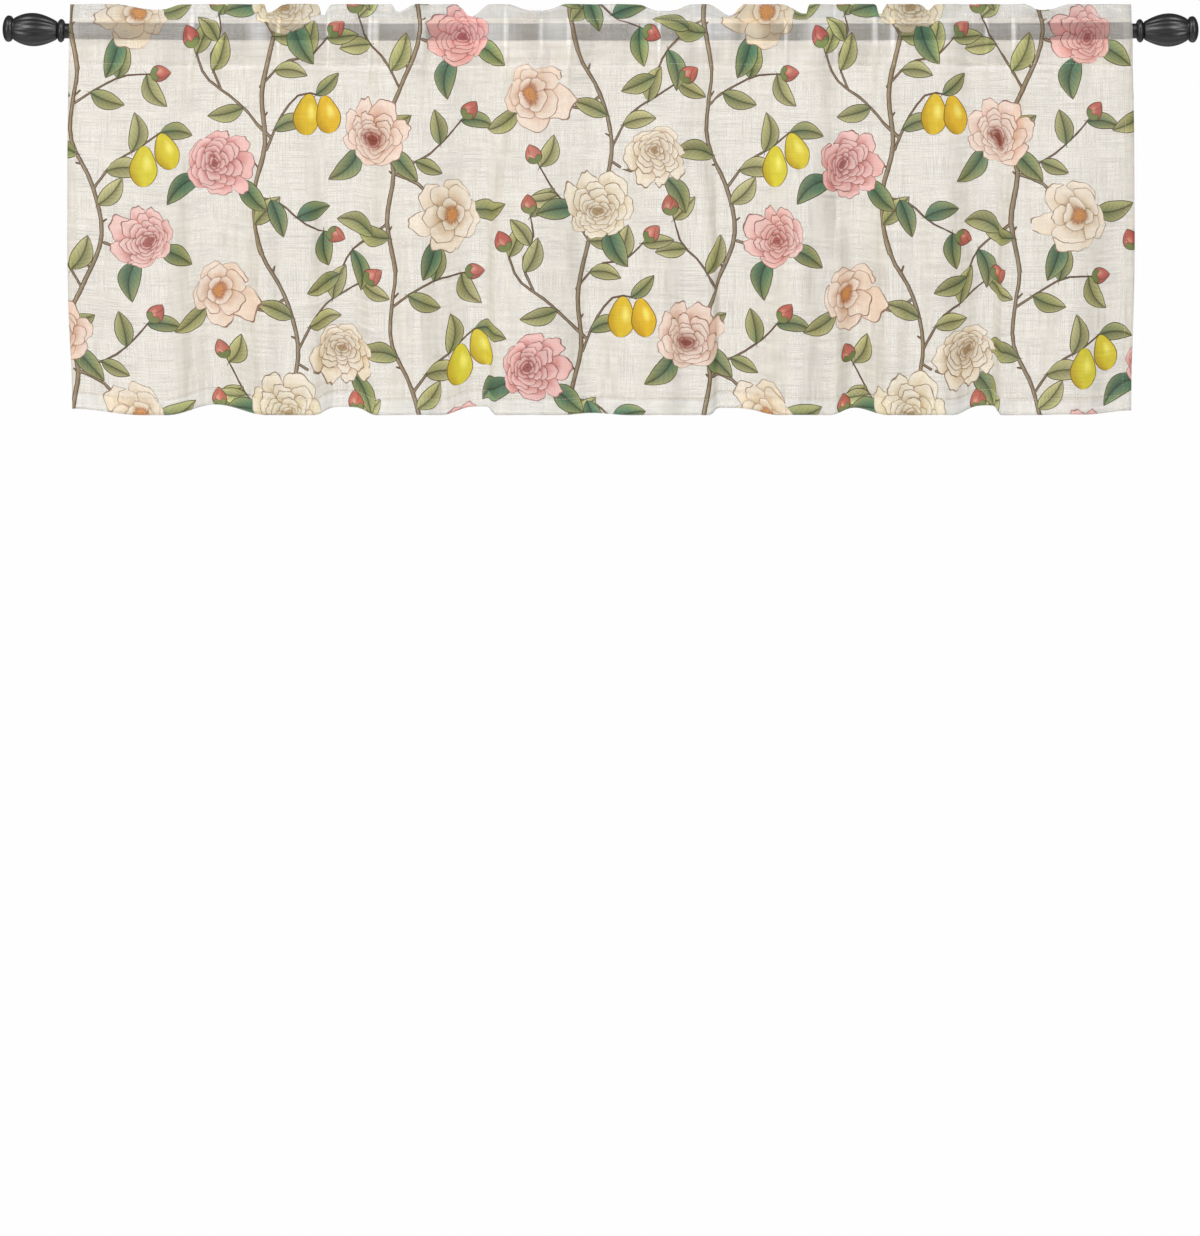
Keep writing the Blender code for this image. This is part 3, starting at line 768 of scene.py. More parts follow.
def shade(colour, value):
    # the colour times a number
    tree = treeOf(colour, value)
    node = tree.nodes.new("ShaderNodeVectorMath")
    node.operation = "SCALE"
    feed(tree, colour, node.inputs[0])
    feed(tree, value, node.inputs["Scale"])
    return Wire(tree, node.outputs[0])


def absolute(value):
    return calc("absolute", value)


def limit(value, low=0.0, high=1.0):
    return calc("minimum", calc("maximum", value, low), high)


def makeStemGroup():
    # Distance in millimetres to one tapered, round-ended piece of stem, and the place across it, -1 to 1.
    def build(tree, wire):
        across, along, length = split(wire["Place"])
        wide, narrow, _ = split(wire["Look"])
        share = limit(along / length)
        half = wide + (narrow - wide) * share
        beyond = along - share * length
        gap = calc("sqrt", across * across + beyond * beyond) - half
        return gap, across / half
    return makeGroup("stemPiece", [("Place", "v"), ("Look", "v")], [("Gap", "f"), ("Side", "f")], build)


def makeLeafGroup():
    # Half width (0.70 + 0.14 seed) length s^0.72 (1 - s)^0.92, s from foot to tip, about a bent midrib;
    # then the drawn line where the distance to that edge is small, midrib, side veins, two-toned halves.
    def build(tree, wire):
        across, along, length = split(wire["Place"])
        tone, seed, bend = split(wire["Look"])
        wobble, grain = wire["Wobble"], wire["Grain"]
        share = limit(along / length)
        middle = across - bend * length * share * (1.0 - share) * 3.2
        half = length * (0.70 + 0.14 * seed) * share ** 0.72 * (1.0 - share) ** 0.92 + wobble * 0.55
        half = calc("maximum", half, 0.0)
        beyond = calc("maximum", calc("maximum", -4.5 - along, along - length), 0.0)
        size = absolute(middle)
        gap = size - half + beyond
        cover = smooth(gap, 0.32, 0.12)
        line = smooth(absolute(gap + 0.20) + wobble * 0.18, 0.78, 0.34)
        edge = limit(size / (half + 0.2))
        right = calc("greater_than", middle, 0.0)
        vein = calc("fract", (along - size * 1.05) * 7.0 / length + right * 0.45)
        vein = smooth(absolute(vein - 0.5), 0.10, 0.02) * smooth(edge, 0.98, 0.60)
        rib = smooth(size, 0.80, 0.25) * smooth(share, 1.0, 0.85)
        green = palette(limit(tone + grain * 0.20 - (edge - 0.5) * 0.26 - (share - 0.55) * 0.42), [
            (0.00, 198, 193, 142), (0.30, 174, 169, 120), (0.60, 149, 150, 102), (0.82, 121, 136, 98),
            (1.0, 93, 122, 97)])
        light = 0.90 + 0.34 * edge - 0.30 * right * (1.0 - 0.4 * edge) + grain * 0.22
        light = light - 0.20 * smooth(size, 2.4, 0.0)
        colour = shade(green, light)
        colour = blend(smooth(share + grain * 0.3, 0.86, 1.15) * 0.5, colour, srgb(156, 120, 66))
        colour = blend(limit(vein * 0.42 + rib * 0.70), colour, inkGreen)
        colour = blend(line * 0.94, colour, inkGreen)
        return colour, cover
    sockets = [("Place", "v"), ("Look", "v"), ("Wobble", "f"), ("Grain", "f")]
    return makeGroup("leafPrint", sockets, [("Colour", "c"), ("Cover", "f")], build)


def makeSmallGroup():
    # Fruit: half width 0.70 length sqrt(s (1 - s)), narrower at the neck. Bud: a drop, half width
    # 1.02 length s^0.55 (1 - s)^0.85, with a green cup whose edge runs out into two sepals.
    def build(tree, wire):
        across, along, length = split(wire["Place"])
        kind, hue, seed = split(wire["Look"])
        wobble, grain = wire["Wobble"], wire["Grain"]
        share = limit(along / length)
        egg = length * 0.70 * (share * (1.0 - share)) ** 0.5 * (0.74 + 0.26 * smooth(share, 0.1, 0.7))
        drop = length * 1.02 * share ** 0.55 * (1.0 - share) ** 0.85
        half = calc("maximum", egg + (drop - egg) * kind + wobble * 0.35, 0.0)
        beyond = calc("maximum", calc("maximum", -1.0 * along, along - length), 0.0)
        gap = absolute(across) - half + beyond * 2.0
        cover = smooth(gap, 0.32, 0.12)
        line = smooth(absolute(gap + 0.22) + wobble * 0.14, 0.80, 0.36)
        q = across / (half + 0.2)
        offX, offY = q + 0.30, share - 0.42
        glow = smooth(calc("sqrt", offX * offX + offY * offY * 3.0), 0.52, 0.0)
        dusk = smooth(q + (share - 0.5) * 0.8, 0.15, 1.25)
        yellow = palette(hue, [(0.0, 208, 199, 62), (0.5, 213, 189, 53), (1.0, 217, 173, 43)])
        yellow = shade(yellow, 0.98 + grain * 0.10 - dusk * 0.16)
        yellow = blend(glow * 0.66, yellow, srgb(252, 244, 128))
        yellow = blend(dusk * 0.62, yellow, srgb(176, 132, 22))
        freckle = smooth(wire["Speck"], 0.66, 0.74)
        yellow = blend(freckle * 0.30, yellow, srgb(150, 118, 40))
        rose = palette(hue, [(0.0, 183, 107, 85), (0.5, 185, 102, 90), (1.0, 199, 127, 109)])
        rose = shade(rose, 0.98 + grain * 0.12 - dusk * 0.30)
        rose = blend(glow * 0.60, rose, srgb(242, 190, 164))
        fold = absolute(q - 0.55 * calc("sine", share * 4.0 + seed * 6.0))
        rose = blend(smooth(fold, 0.12, 0.03) * 0.6, rose, srgb(128, 52, 48))
        sepal = share + absolute(absolute(q) - 0.5) * 0.34
        green = palette(hue, [(0.0, 128, 134, 84), (1.0, 108, 122, 74)])
        rose = blend(smooth(sepal, 0.44, 0.40), rose, shade(green, 1.0 - dusk * 0.3))
        rose = blend(smooth(absolute(sepal - 0.42), 0.035, 0.012) * 0.6, rose, inkGreen)
        colour = blend(kind, yellow, rose)
        colour = blend(line * 0.92, colour, blend(kind, srgb(104, 82, 28), inkBrown))
        return colour, cover
    sockets = [("Place", "v"), ("Look", "v"), ("Wobble", "f"), ("Grain", "f"), ("Speck", "f")]
    return makeGroup("fruitAndBudPrint", sockets, [("Colour", "c"), ("Cover", "f")], build)


def makePetalGroup():
    # One ring of petals. Angle in turns, reach 0 to 1. The petal's edge is
    # radius (1 - cleft |2 phi|^2.6 + frill cos 6 pi phi), phi the place across a petal, -0.5 to 0.5,
    # and each petal's radius and lightness differ by a number made from its place in the ring.
    def build(tree, wire):
        angle, reach, count = wire["Angle"], wire["Reach"], wire["Count"]
        radius, size = wire["Radius"], wire["Size"]
        place = angle * count + wire["Turn"] + reach * wire["Curl"]
        phi = calc("fract", place) - 0.5
        number = calc("floor", place)
        chance = calc("fract", calc("sine", number * 12.99 + wire["Turn"] * 7.3) * 437.5)
        side = absolute(phi) * 2.0
        frill = 0.014 * calc("cosine", phi * 18.85 + chance * 6.0)
        edge = 0.93 + 0.11 * chance - wire["Cleft"] * side ** 2.6 + frill
        edge = radius * (edge + wire["Wobble"] * 0.022)
        gap = (reach - edge) * size
        cover = smooth(gap, 0.28, 0.10)
        seam = (1.0 - side) * reach * size * 3.14 / count
        pen = wire["Pen"]
        line = calc("maximum", smooth(absolute(gap + pen * 0.18), pen * 0.66, pen * 0.26),
                    smooth(seam, pen * 0.70, pen * 0.20) * 0.9)
        inner = reach / calc("maximum", edge, 0.01)
        lift = smooth(inner, wire["Base"], 1.0) * (0.74 + 0.26 * smooth(phi, 0.5, -0.15))
        lift = lift + (chance - 0.5) * 0.16 - 0.28 * smooth(seam, 3.8, 0.0)
        ray = absolute(calc("fract", phi * 7.0 + chance) - 0.5)
        streak = smooth(ray, 0.16, 0.0) * smooth(inner, 0.95, 0.45)
        lift = lift - streak * 0.22
        return cover, line, limit(lift)
    inputs = ["Angle", "Reach", "Count", "Radius", "Cleft", "Turn", "Curl", "Size", "Wobble", "Base", "Pen"]
    return makeGroup("petalRing", [(name, "f") for name in inputs],
                     [("Cover", "f"), ("Line", "f"), ("Lift", "f")], build)


# the blossoms' lit, middle, deep and drawn tones, each from cream by apricot to rose
bloomTints = [
    [(0.0, 240, 232, 213), (0.45, 241, 223, 207), (0.8, 241, 207, 198), (1.0, 240, 200, 193)],
    [(0.0, 222, 207, 177), (0.45, 225, 194, 172), (0.8, 221, 166, 156), (1.0, 214, 149, 142)],
    [(0.0, 176, 152, 112), (0.45, 182, 134, 108), (0.8, 176, 108, 100), (1.0, 166, 98, 92)],
    [(0.0, 120, 90, 60), (0.45, 124, 78, 58), (1.0, 114, 62, 56)],
]

# rings of petals from the widest: how many, radius and cleft, each for a full rosette and an open one
bloomRings = [
    (7.0, 5.0, 1.00, 1.00, 0.17, 0.24),
    (7.0, 5.0, 0.80, 0.80, 0.17, 0.22),
    (6.0, 4.0, 0.63, 0.48, 0.18, 0.22),
    (5.0, 4.0, 0.48, 0.00, 0.18, 0.20),
    (5.0, 4.0, 0.34, 0.00, 0.17, 0.20),
    (4.0, 4.0, 0.21, 0.00, 0.14, 0.20),
]


def makeBloomGroup(petalGroup):
    # A blossom drawn as rings of petals from the widest to the heart, seen a little from one side.
    def build(tree, wire):
        across, along, size = split(wire["Place"])
        opened, hue, seed = split(wire["Look"])
        grain = wire["Grain"]
        swayX, swayY, _ = split(wire["Sway"])
        x = across / size + (swayX - 0.5) * 0.34
        y = along / size + (swayY - 0.5) * 0.34
        tilt = (x * x + y * y - 1.0) * (0.20 + 0.12 * seed)
        y = y - tilt
        x = x + tilt * (seed - 0.5)
        reach = calc("sqrt", x * x + y * y)
        angle = calc("arctan2", y, x) / tau
        angle = angle + 0.030 * calc("sine", angle * tau + seed * 40.0)
        angle = angle + 0.016 * calc("sine", angle * (3.0 * tau) + seed * 90.0)
        light, middle, deep, ink = [palette(hue, stops) for stops in bloomTints]
        cover, colour = None, None
        closed = 1.0 - opened
        for number, ring in enumerate(bloomRings):
            fullCount, openCount, fullRadius, openRadius, fullCleft, openCleft = ring
            # an open blossom's inner rings have no radius, so their petals need no count of their own
            count = fullCount
            if openRadius > 0.0:
                count = calc("round", fullCount + (openCount - fullCount) * opened)
            radius = fullRadius * closed + openRadius * opened
            cleft = fullCleft + (openCleft - fullCleft) * opened
            ringCover, line, lift = useGroup(
                tree, petalGroup, Angle=angle, Reach=reach, Count=count, Radius=radius, Cleft=cleft,
                Turn=seed * 7.0 + number * 0.43, Curl=0.22 - 0.22 * number, Size=size, Wobble=wire["Wobble"],
                Base=0.50 - 0.24 * opened, Pen=1.0 - 0.09 * number)
            petal = blend(smooth(lift, 0.0, 0.50), deep, middle)
            petal = blend(smooth(lift, 0.34, 0.92), petal, light)
            petal = shade(petal, 1.0 + grain * 0.06 - 0.030 * number)
            petal = blend(line * 0.88, petal, ink)
            if colour is None:
                colour, cover = petal, ringCover
            else:
                colour = blend(ringCover, colour, petal)
        spokes = smooth(absolute(calc("fract", angle * 21.0 + wire["Wobble"] * 0.3) - 0.5), 0.36, 0.12)
        threads = smooth(reach + wire["Wobble"] * 0.03, 0.30, 0.24) * spokes * opened
        colour = blend(threads * 0.8, colour, srgb(166, 98, 54))
        pollen = palette(limit(wire["Speck"] * 1.6 - 0.3), [
            (0.0, 132, 74, 40), (0.5, 196, 132, 76), (1.0, 232, 184, 116)])
        heart = smooth(reach + wire["Wobble"] * 0.03, 0.20, 0.14) * opened
        colour = blend(heart * 0.95, colour, pollen)
        blush = smooth(absolute(hue - 0.47), 0.16, 0.04) * closed * smooth(reach, 0.42, 0.10)
        colour = blend(blush * 0.70, colour, srgb(176, 66, 66), "MULTIPLY")
        return colour, cover
    sockets = [("Place", "v"), ("Look", "v"), ("Wobble", "f"), ("Grain", "f"), ("Speck", "f"), ("Sway", "v")]
    return makeGroup("blossomPrint", sockets, [("Colour", "c"), ("Cover", "f")], build)


def makeWeaveGroup():
    # Linen-look cloth: thin lines across and up where long thin noise is high, more of them in patches,
    # with rarer thick slubs, broad faint streaks, and a fine tabby of crossed sines.
    def build(tree, wire):
        u, v, _ = split(wire["Flat"])
        patch = noise(join(tree, u * 16.0, v * 24.0 + 3.0), 1.0, 1.0, 0.5)
        weft = noise(join(tree, u * 24.0, v * 1180.0), 1.0, 1.0, 0.5)
        warp = noise(join(tree, u * 1180.0 + 31.0, v * 24.0), 1.0, 1.0, 0.5)
        broadWeft = noise(join(tree, u * 9.0, v * 190.0 + 7.0), 1.0, 2.0, 0.6)
        broadWarp = noise(join(tree, u * 190.0, v * 9.0 + 3.0), 1.0, 2.0, 0.6)
        lean = (patch - 0.5) * 0.42
        weftLine = smooth(weft + lean, 0.54, 0.64)
        warpLine = smooth(warp - lean, 0.55, 0.65)
        slub = calc("maximum", weftLine, warpLine * 0.85)
        thin = calc("maximum", smooth(weft + lean, 0.42, 0.26), smooth(warp - lean, 0.42, 0.26))
        broad = (broadWeft - 0.5) + (broadWarp - 0.5) * 0.8
        tabby = calc("sine", u * 5200.0) * calc("sine", v * 5200.0)
        height = slub * 0.6 - thin * 0.3 + tabby * 0.12 + broad * 0.5
        return slub, thin, broad, height
    return makeGroup("linenWeave", [("Flat", "v")],
                     [("Slub", "f"), ("Thin", "f"), ("Broad", "f"), ("Height", "f")], build)


rod = {
    "halfLength": 0.5915,
    "radius": 0.0095,
    "sag": 0.0016,                 # the thin tube bows down a little between its ends
    "rounding": 0.0012,
    "rings": 59,
    "sides": 64,
}

weaveLook = {
    "cloth": (231, 226, 215),      # unprinted cloth as it is seen over white: warm, with cooler streaks
    "streak": (235, 231, 225),
    "line": (203, 199, 193),       # the thin grey lines of thicker thread
    "lineShare": 0.62,
    "lineOnPrint": 0.10,
    "thinShade": 0.030,
    "broadShade": 0.12,
    "rodGain": (0.735, 0.755, 0.80),    # share of the light that is left where the cloth lies on the rod
    "bandEdge": (0.0006, 0.0002),  # how far outside and inside the rod's outline that shadow's edge lies
    "passing": 0.45,               # share of light that goes straight through one unprinted layer
    "printPassing": 1.5,           # how fast that falls as the print gets darker
    "thinPasses": 0.10,            # how much more of it thin places let through, and slubs and streaks less
    "slubStops": 0.20,
    "broadStops": 0.12,
}


def attribute(tree, name, output="Vector"):
    node = tree.nodes.new("ShaderNodeAttribute")
    node.attribute_name = name
    return Wire(tree, node.outputs[output])


def objectPlace(tree):
    return Wire(tree, tree.nodes.new("ShaderNodeTexCoord").outputs["Object"])


def roughen(tree, shader, height, strength, distance):
    # a bump, distance in metres
    bump = tree.nodes.new("ShaderNodeBump")
    bump.inputs["Strength"].default_value = strength
    bump.inputs["Distance"].default_value = distance
    feed(tree, height, bump.inputs["Height"])
    tree.links.new(bump.outputs["Normal"], shader.inputs["Normal"])


def clothMaterials():
    # one material for each kind of face, so that plain cloth isn't asked about blossoms
    groups = {"stem": makeStemGroup(), "leaf": makeLeafGroup(), "small": makeSmallGroup(),
              "bloom": makeBloomGroup(makePetalGroup()), "weave": makeWeaveGroup()}
    return [clothMaterial(name, dict(zip(printing["sorts"], layers)), groups)
            for name, *layers in printing["kinds"]]


def clothMaterial(name, layers, groups):
    # Each print layer gives its colour as it is to be seen over white. The share of light that passes falls
    # with the least of that colour's channels, and the cloth's own colour makes up the rest.
    material, tree, shader = newMaterial(name + "Cloth")
    node = tree.nodes.new("ShaderNodeUVMap")
    node.uv_map = "flatCloth"
    flat = Wire(tree, node.outputs[0])
    slub, thin, broad, height = useGroup(tree, groups["weave"], Flat=flat)
    printed = dict(Wobble=noise(flat, 95.0, 2.0, 0.6) * 2.0 - 1.0,
                   Grain=noise(flat, 170.0, 3.0, 0.65) * 2.0 - 1.0)
    strength = attribute(tree, "printStrength", "Fac")

    ground = blend(limit(0.5 + broad), srgb(*weaveLook["cloth"]), srgb(*weaveLook["streak"]))
    ground = blend(slub * weaveLook["lineShare"], ground, srgb(*weaveLook["line"]))
    gap, side = None, None
    for layer in range(layers["stem"]):
        nextGap, nextSide = useGroup(tree, groups["stem"], Place=attribute(tree, f"stemPlace{layer}"),
                                     Look=attribute(tree, f"stemLook{layer}"))
        if gap is None:
            gap, side = nextGap, nextSide
        else:
            nearer = calc("less_than", nextGap, gap)
            side = side + (nextSide - side) * nearer
            gap = calc("minimum", gap, nextGap)
    ink, inked = None, None
    if gap is not None:
        gap = gap + printed["Wobble"] * 0.55
        ink = palette(limit(0.5 + side * 0.42 + printed["Grain"] * 0.40), [
            (0.0, 188, 173, 146), (0.45, 151, 136, 111), (1.0, 101, 84, 65)])
        ink = blend(smooth(absolute(gap + 0.25), 0.85, 0.36) * 0.95, ink, inkBrown)
        inked = smooth(gap, 0.30, 0.05)
    for sort in ("leaf", "small", "bloom"):
        if sort != "leaf" and layers[sort]:
            printed["Speck"] = noise(flat, 900.0, 1.0, 0.5)
        if sort == "bloom" and layers[sort]:
            printed["Sway"] = noise(flat, 42.0, 1.0, 0.5, colour=True)
        for layer in range(layers[sort]):
            colour, cover = useGroup(tree, groups[sort], Place=attribute(tree, f"{sort}Place{layer}"),
                                     Look=attribute(tree, f"{sort}Look{layer}"), **printed)
            ink = colour if ink is None else blend(cover, ink, colour)
            inked = cover if inked is None else calc("maximum", inked, cover)
    seen = ground
    if ink is not None:
        seen = blend(inked * strength, ground, shade(ink, 1.0 - slub * weaveLook["lineOnPrint"]))
    seen = shade(seen, 1.0 + thin * weaveLook["thinShade"] + broad * weaveLook["broadShade"])

    channels = split(seen)
    least = calc("minimum", calc("minimum", channels[0], channels[1]), channels[2])
    plainLeast = srgb(*weaveLook["cloth"])[2]
    # the rod's shadow follows its line, sag (1 - (x / half length)^4) below the axis
    x, _, z = split(objectPlace(tree))
    sunk = z + rod["sag"] * (1.0 - calc("power", absolute(x / rod["halfLength"]), 4.0))
    outside, inside = weaveLook["bandEdge"]
    band = smooth(absolute(sunk), rod["radius"] + outside, rod["radius"] - inside)
    band = band * attribute(tree, "overRod", "Fac")
    uneven = thin * weaveLook["thinPasses"] - slub * weaveLook["slubStops"] - broad * weaveLook["broadStops"]
    uneven = uneven * (1.0 - band * 0.7)
    passing = (uneven + 1.0) * weaveLook["passing"] * limit(least / plainLeast) ** weaveLook["printPassing"]
    # painted light and shade: the litThrough gain brightens the cloth's own colour where layers lie together,
    # and rodGain darkens it over the rod as a painted shadow of the rod
    glow = [gain * (1.0 + band * (onBand - 1.0))
            for gain, onBand in zip(split(attribute(tree, "litThrough")), weaveLook["rodGain"])]
    own = [calc("maximum", (channel - passing) / (1.0 - passing), 0.0) * gain
           for channel, gain in zip(channels, glow)]
    feed(tree, join(tree, *own), shader.inputs["Base Color"])
    # a layer has two faces, so each lets the square root of the layer's share through
    through = passing ** (attribute(tree, "gathered", "Fac") * 0.5)
    feed(tree, 1.0 - through, shader.inputs["Alpha"])
    shader.inputs["Roughness"].default_value = 0.82
    shader.inputs["Specular IOR Level"].default_value = 0.18
    roughen(tree, shader, height, 0.35, 0.00025)
    return material


metalLook = {
    "tones": [(0.30, 20, 20, 21), (0.70, 33, 33, 35)],
    "roughness": 0.33,
    "mottled": 0.10,               # what mottling and dust add to it
    "dusty": 0.06,
}


def metalMaterial():
    # satin black, a little uneven in tone and gloss, with fine pits
    material, tree, shader = newMaterial("blackSatinMetal")
    place = objectPlace(tree)
    mottle = noise(place, 260.0, 3.0, 0.6)
    dust = noise(place, 45.0, 3.0, 0.6)
    pits = noise(place, 1900.0, 2.0, 0.6)
    colour = palette(limit(mottle * 0.5 + dust * 0.5), metalLook["tones"])
    feed(tree, colour, shader.inputs["Base Color"])
    roughness = metalLook["roughness"] + mottle * metalLook["mottled"] + dust * metalLook["dusty"]
    feed(tree, roughness, shader.inputs["Roughness"])
    shader.inputs["Specular IOR Level"].default_value = 0.55
    roughen(tree, shader, pits, 0.25, 0.00012)
    return material


def threadMaterial():
    # matt sewing thread; its twist is a slanted sine along the cloth
    material, tree, shader = newMaterial("sewingThread")
    place = objectPlace(tree)
    x, _, z = split(place)
    tint = palette(noise(place, 60.0, 2.0, 0.5), [(0.3, 214, 209, 198), (0.7, 232, 228, 218)])
    feed(tree, tint, shader.inputs["Base Color"])
    shader.inputs["Roughness"].default_value = 0.78
    shader.inputs["Specular IOR Level"].default_value = 0.25
    roughen(tree, shader, calc("sine", (x + z * 1.4) * 9000.0), 0.5, 0.0001)
    return material


def addData(mesh, name, values, domain):
    # a named vector or number for each face, corner or point
    vector = values.ndim > 1
    data = mesh.attributes.new(name, "FLOAT_VECTOR" if vector else "FLOAT", domain).data
    data.foreach_set("vector" if vector else "value", values.astype(np.float32).ravel())


layering = {
    "backDensity": 0.60,           # how much the unseen back layer of pocket, heading and hem closes
    # painted light: the turned-back layer is lit less behind the layer in front, so it gets this gain for
    # red, green and blue
    "backGain": (1.42, 1.46, 1.64),
    # gain for red, green and blue of the layer in front: two layers shade each other and look cooler
    "frontGain": {"body": (1.0, 1.0, 1.0), "pocket": (1.25, 1.28, 1.36), "heading": (1.00, 1.07, 1.19),
                  "top": (1.00, 1.07, 1.19), "hem": (1.21, 1.29, 1.43), "edge": (1.1, 1.15, 1.25)},
    # painted light: bunched cloth, from slopes and pinches, gets a larger gain, so it is painted lighter and
    # bluer
    "denseLightGain": (0.04, 0.06, 0.10),    # what each further layer's worth of cloth adds to the gain
    "densest": 2.5,
    "steepness": 3.6,              # density that a slope adds, up to the steepest
    "steepest": 1.25,
    "pinching": 4.6,
    "pinchBehind": 0.5,
    "narrowGain": 2.6,             # narrow pinches are this much stronger, and narrower than their pleat
    "narrowWidth": 0.62,
    "pinchZone": (-0.012, 0.010),  # pinches are full between these heights, and fade over these lengths
    "pinchFade": (0.018, 0.014),
    "sideLayer": 0.5,
    "sideEdge": 0.0012,            # width over which the turned edge's density comes in
    "backPrint": 0.28,             # strength of the print on the turned-back cloth, and on the reverse
    "reversePrint": 0.75,
    "bandRows": (0.15, 0.98),      # shares of the pocket's height that can lie on the rod
}


def gatherDensity():
    # How much cloth lies behind one another, 1 for a smooth layer: the slope of the cloth across, the
    # pinches over the rod, which fade above and below it, and the turned edge at each side.
    stretch = np.gradient(clothMiddle, axis=1)
    slope = np.linalg.norm(stretch, axis=-1) / np.maximum(np.abs(stretch[..., 0]), 1e-5)
    z = clothMiddle[..., 2]
    pinched = 0.0
    for at, half, strength in pinches:
        narrow = half < cloth["narrowPinch"]
        strength = strength * (layering["narrowGain"] if narrow else 1.0)
        half = half * (layering["narrowWidth"] if narrow else 1.0)
        pinched = pinched + strength * np.exp(-np.abs((columns - at) / half) ** 3)
    (low, high), (lowFade, highFade) = layering["pinchZone"], layering["pinchFade"]
    fade = np.exp(-np.maximum(low - z, 0.0) / lowFade) * np.exp(-np.maximum(z - high, 0.0) / highFade)
    fade = fade * np.array([1.0 if row[2] <= 0 else layering["pinchBehind"] for row in section])[:, None]
    turned = np.abs(columns) - cloth["halfWidth"] + cloth["sideHem"] + layering["sideEdge"] / 2.0
    sideEdge = smoothStep(turned / layering["sideEdge"])
    steep = layering["steepness"] * (np.clip(slope, 1.0, layering["steepest"]) - 1.0)
    density = 1.0 + steep + layering["pinching"] * pinched * fade + layering["sideLayer"] * sideEdge
    return density * np.array([layering["backDensity"] if row[2] > 0 else 1.0 for row in section])[:, None]


def layerLight():
    # Gain of red, green and blue for the cloth's own colour: where two layers lie together each is lit
    # by less, which the gain makes up for.
    front = np.array([layering["frontGain"][row[0]] for row in section])[:, None]
    behind = np.array([row[2] > 0 for row in section])[:, None, None]
    dense = np.clip(gatherDensity(), 1.0, layering["densest"])[..., None] - 1.0
    front = front * (1.0 + dense * np.array(layering["denseLightGain"]))
    return np.where(behind, np.array(layering["backGain"]), front)


bakeLayout = {
    "span": 1.02,                  # of the cloth's width, which fills the map from side to side
    "shrink": 0.99,
    "border": 0.003,
    "gap": 0.010,                  # between the two faces, and then the rim as a strip
    "rimAt": 0.030,
    "rimHigh": 0.004,
}


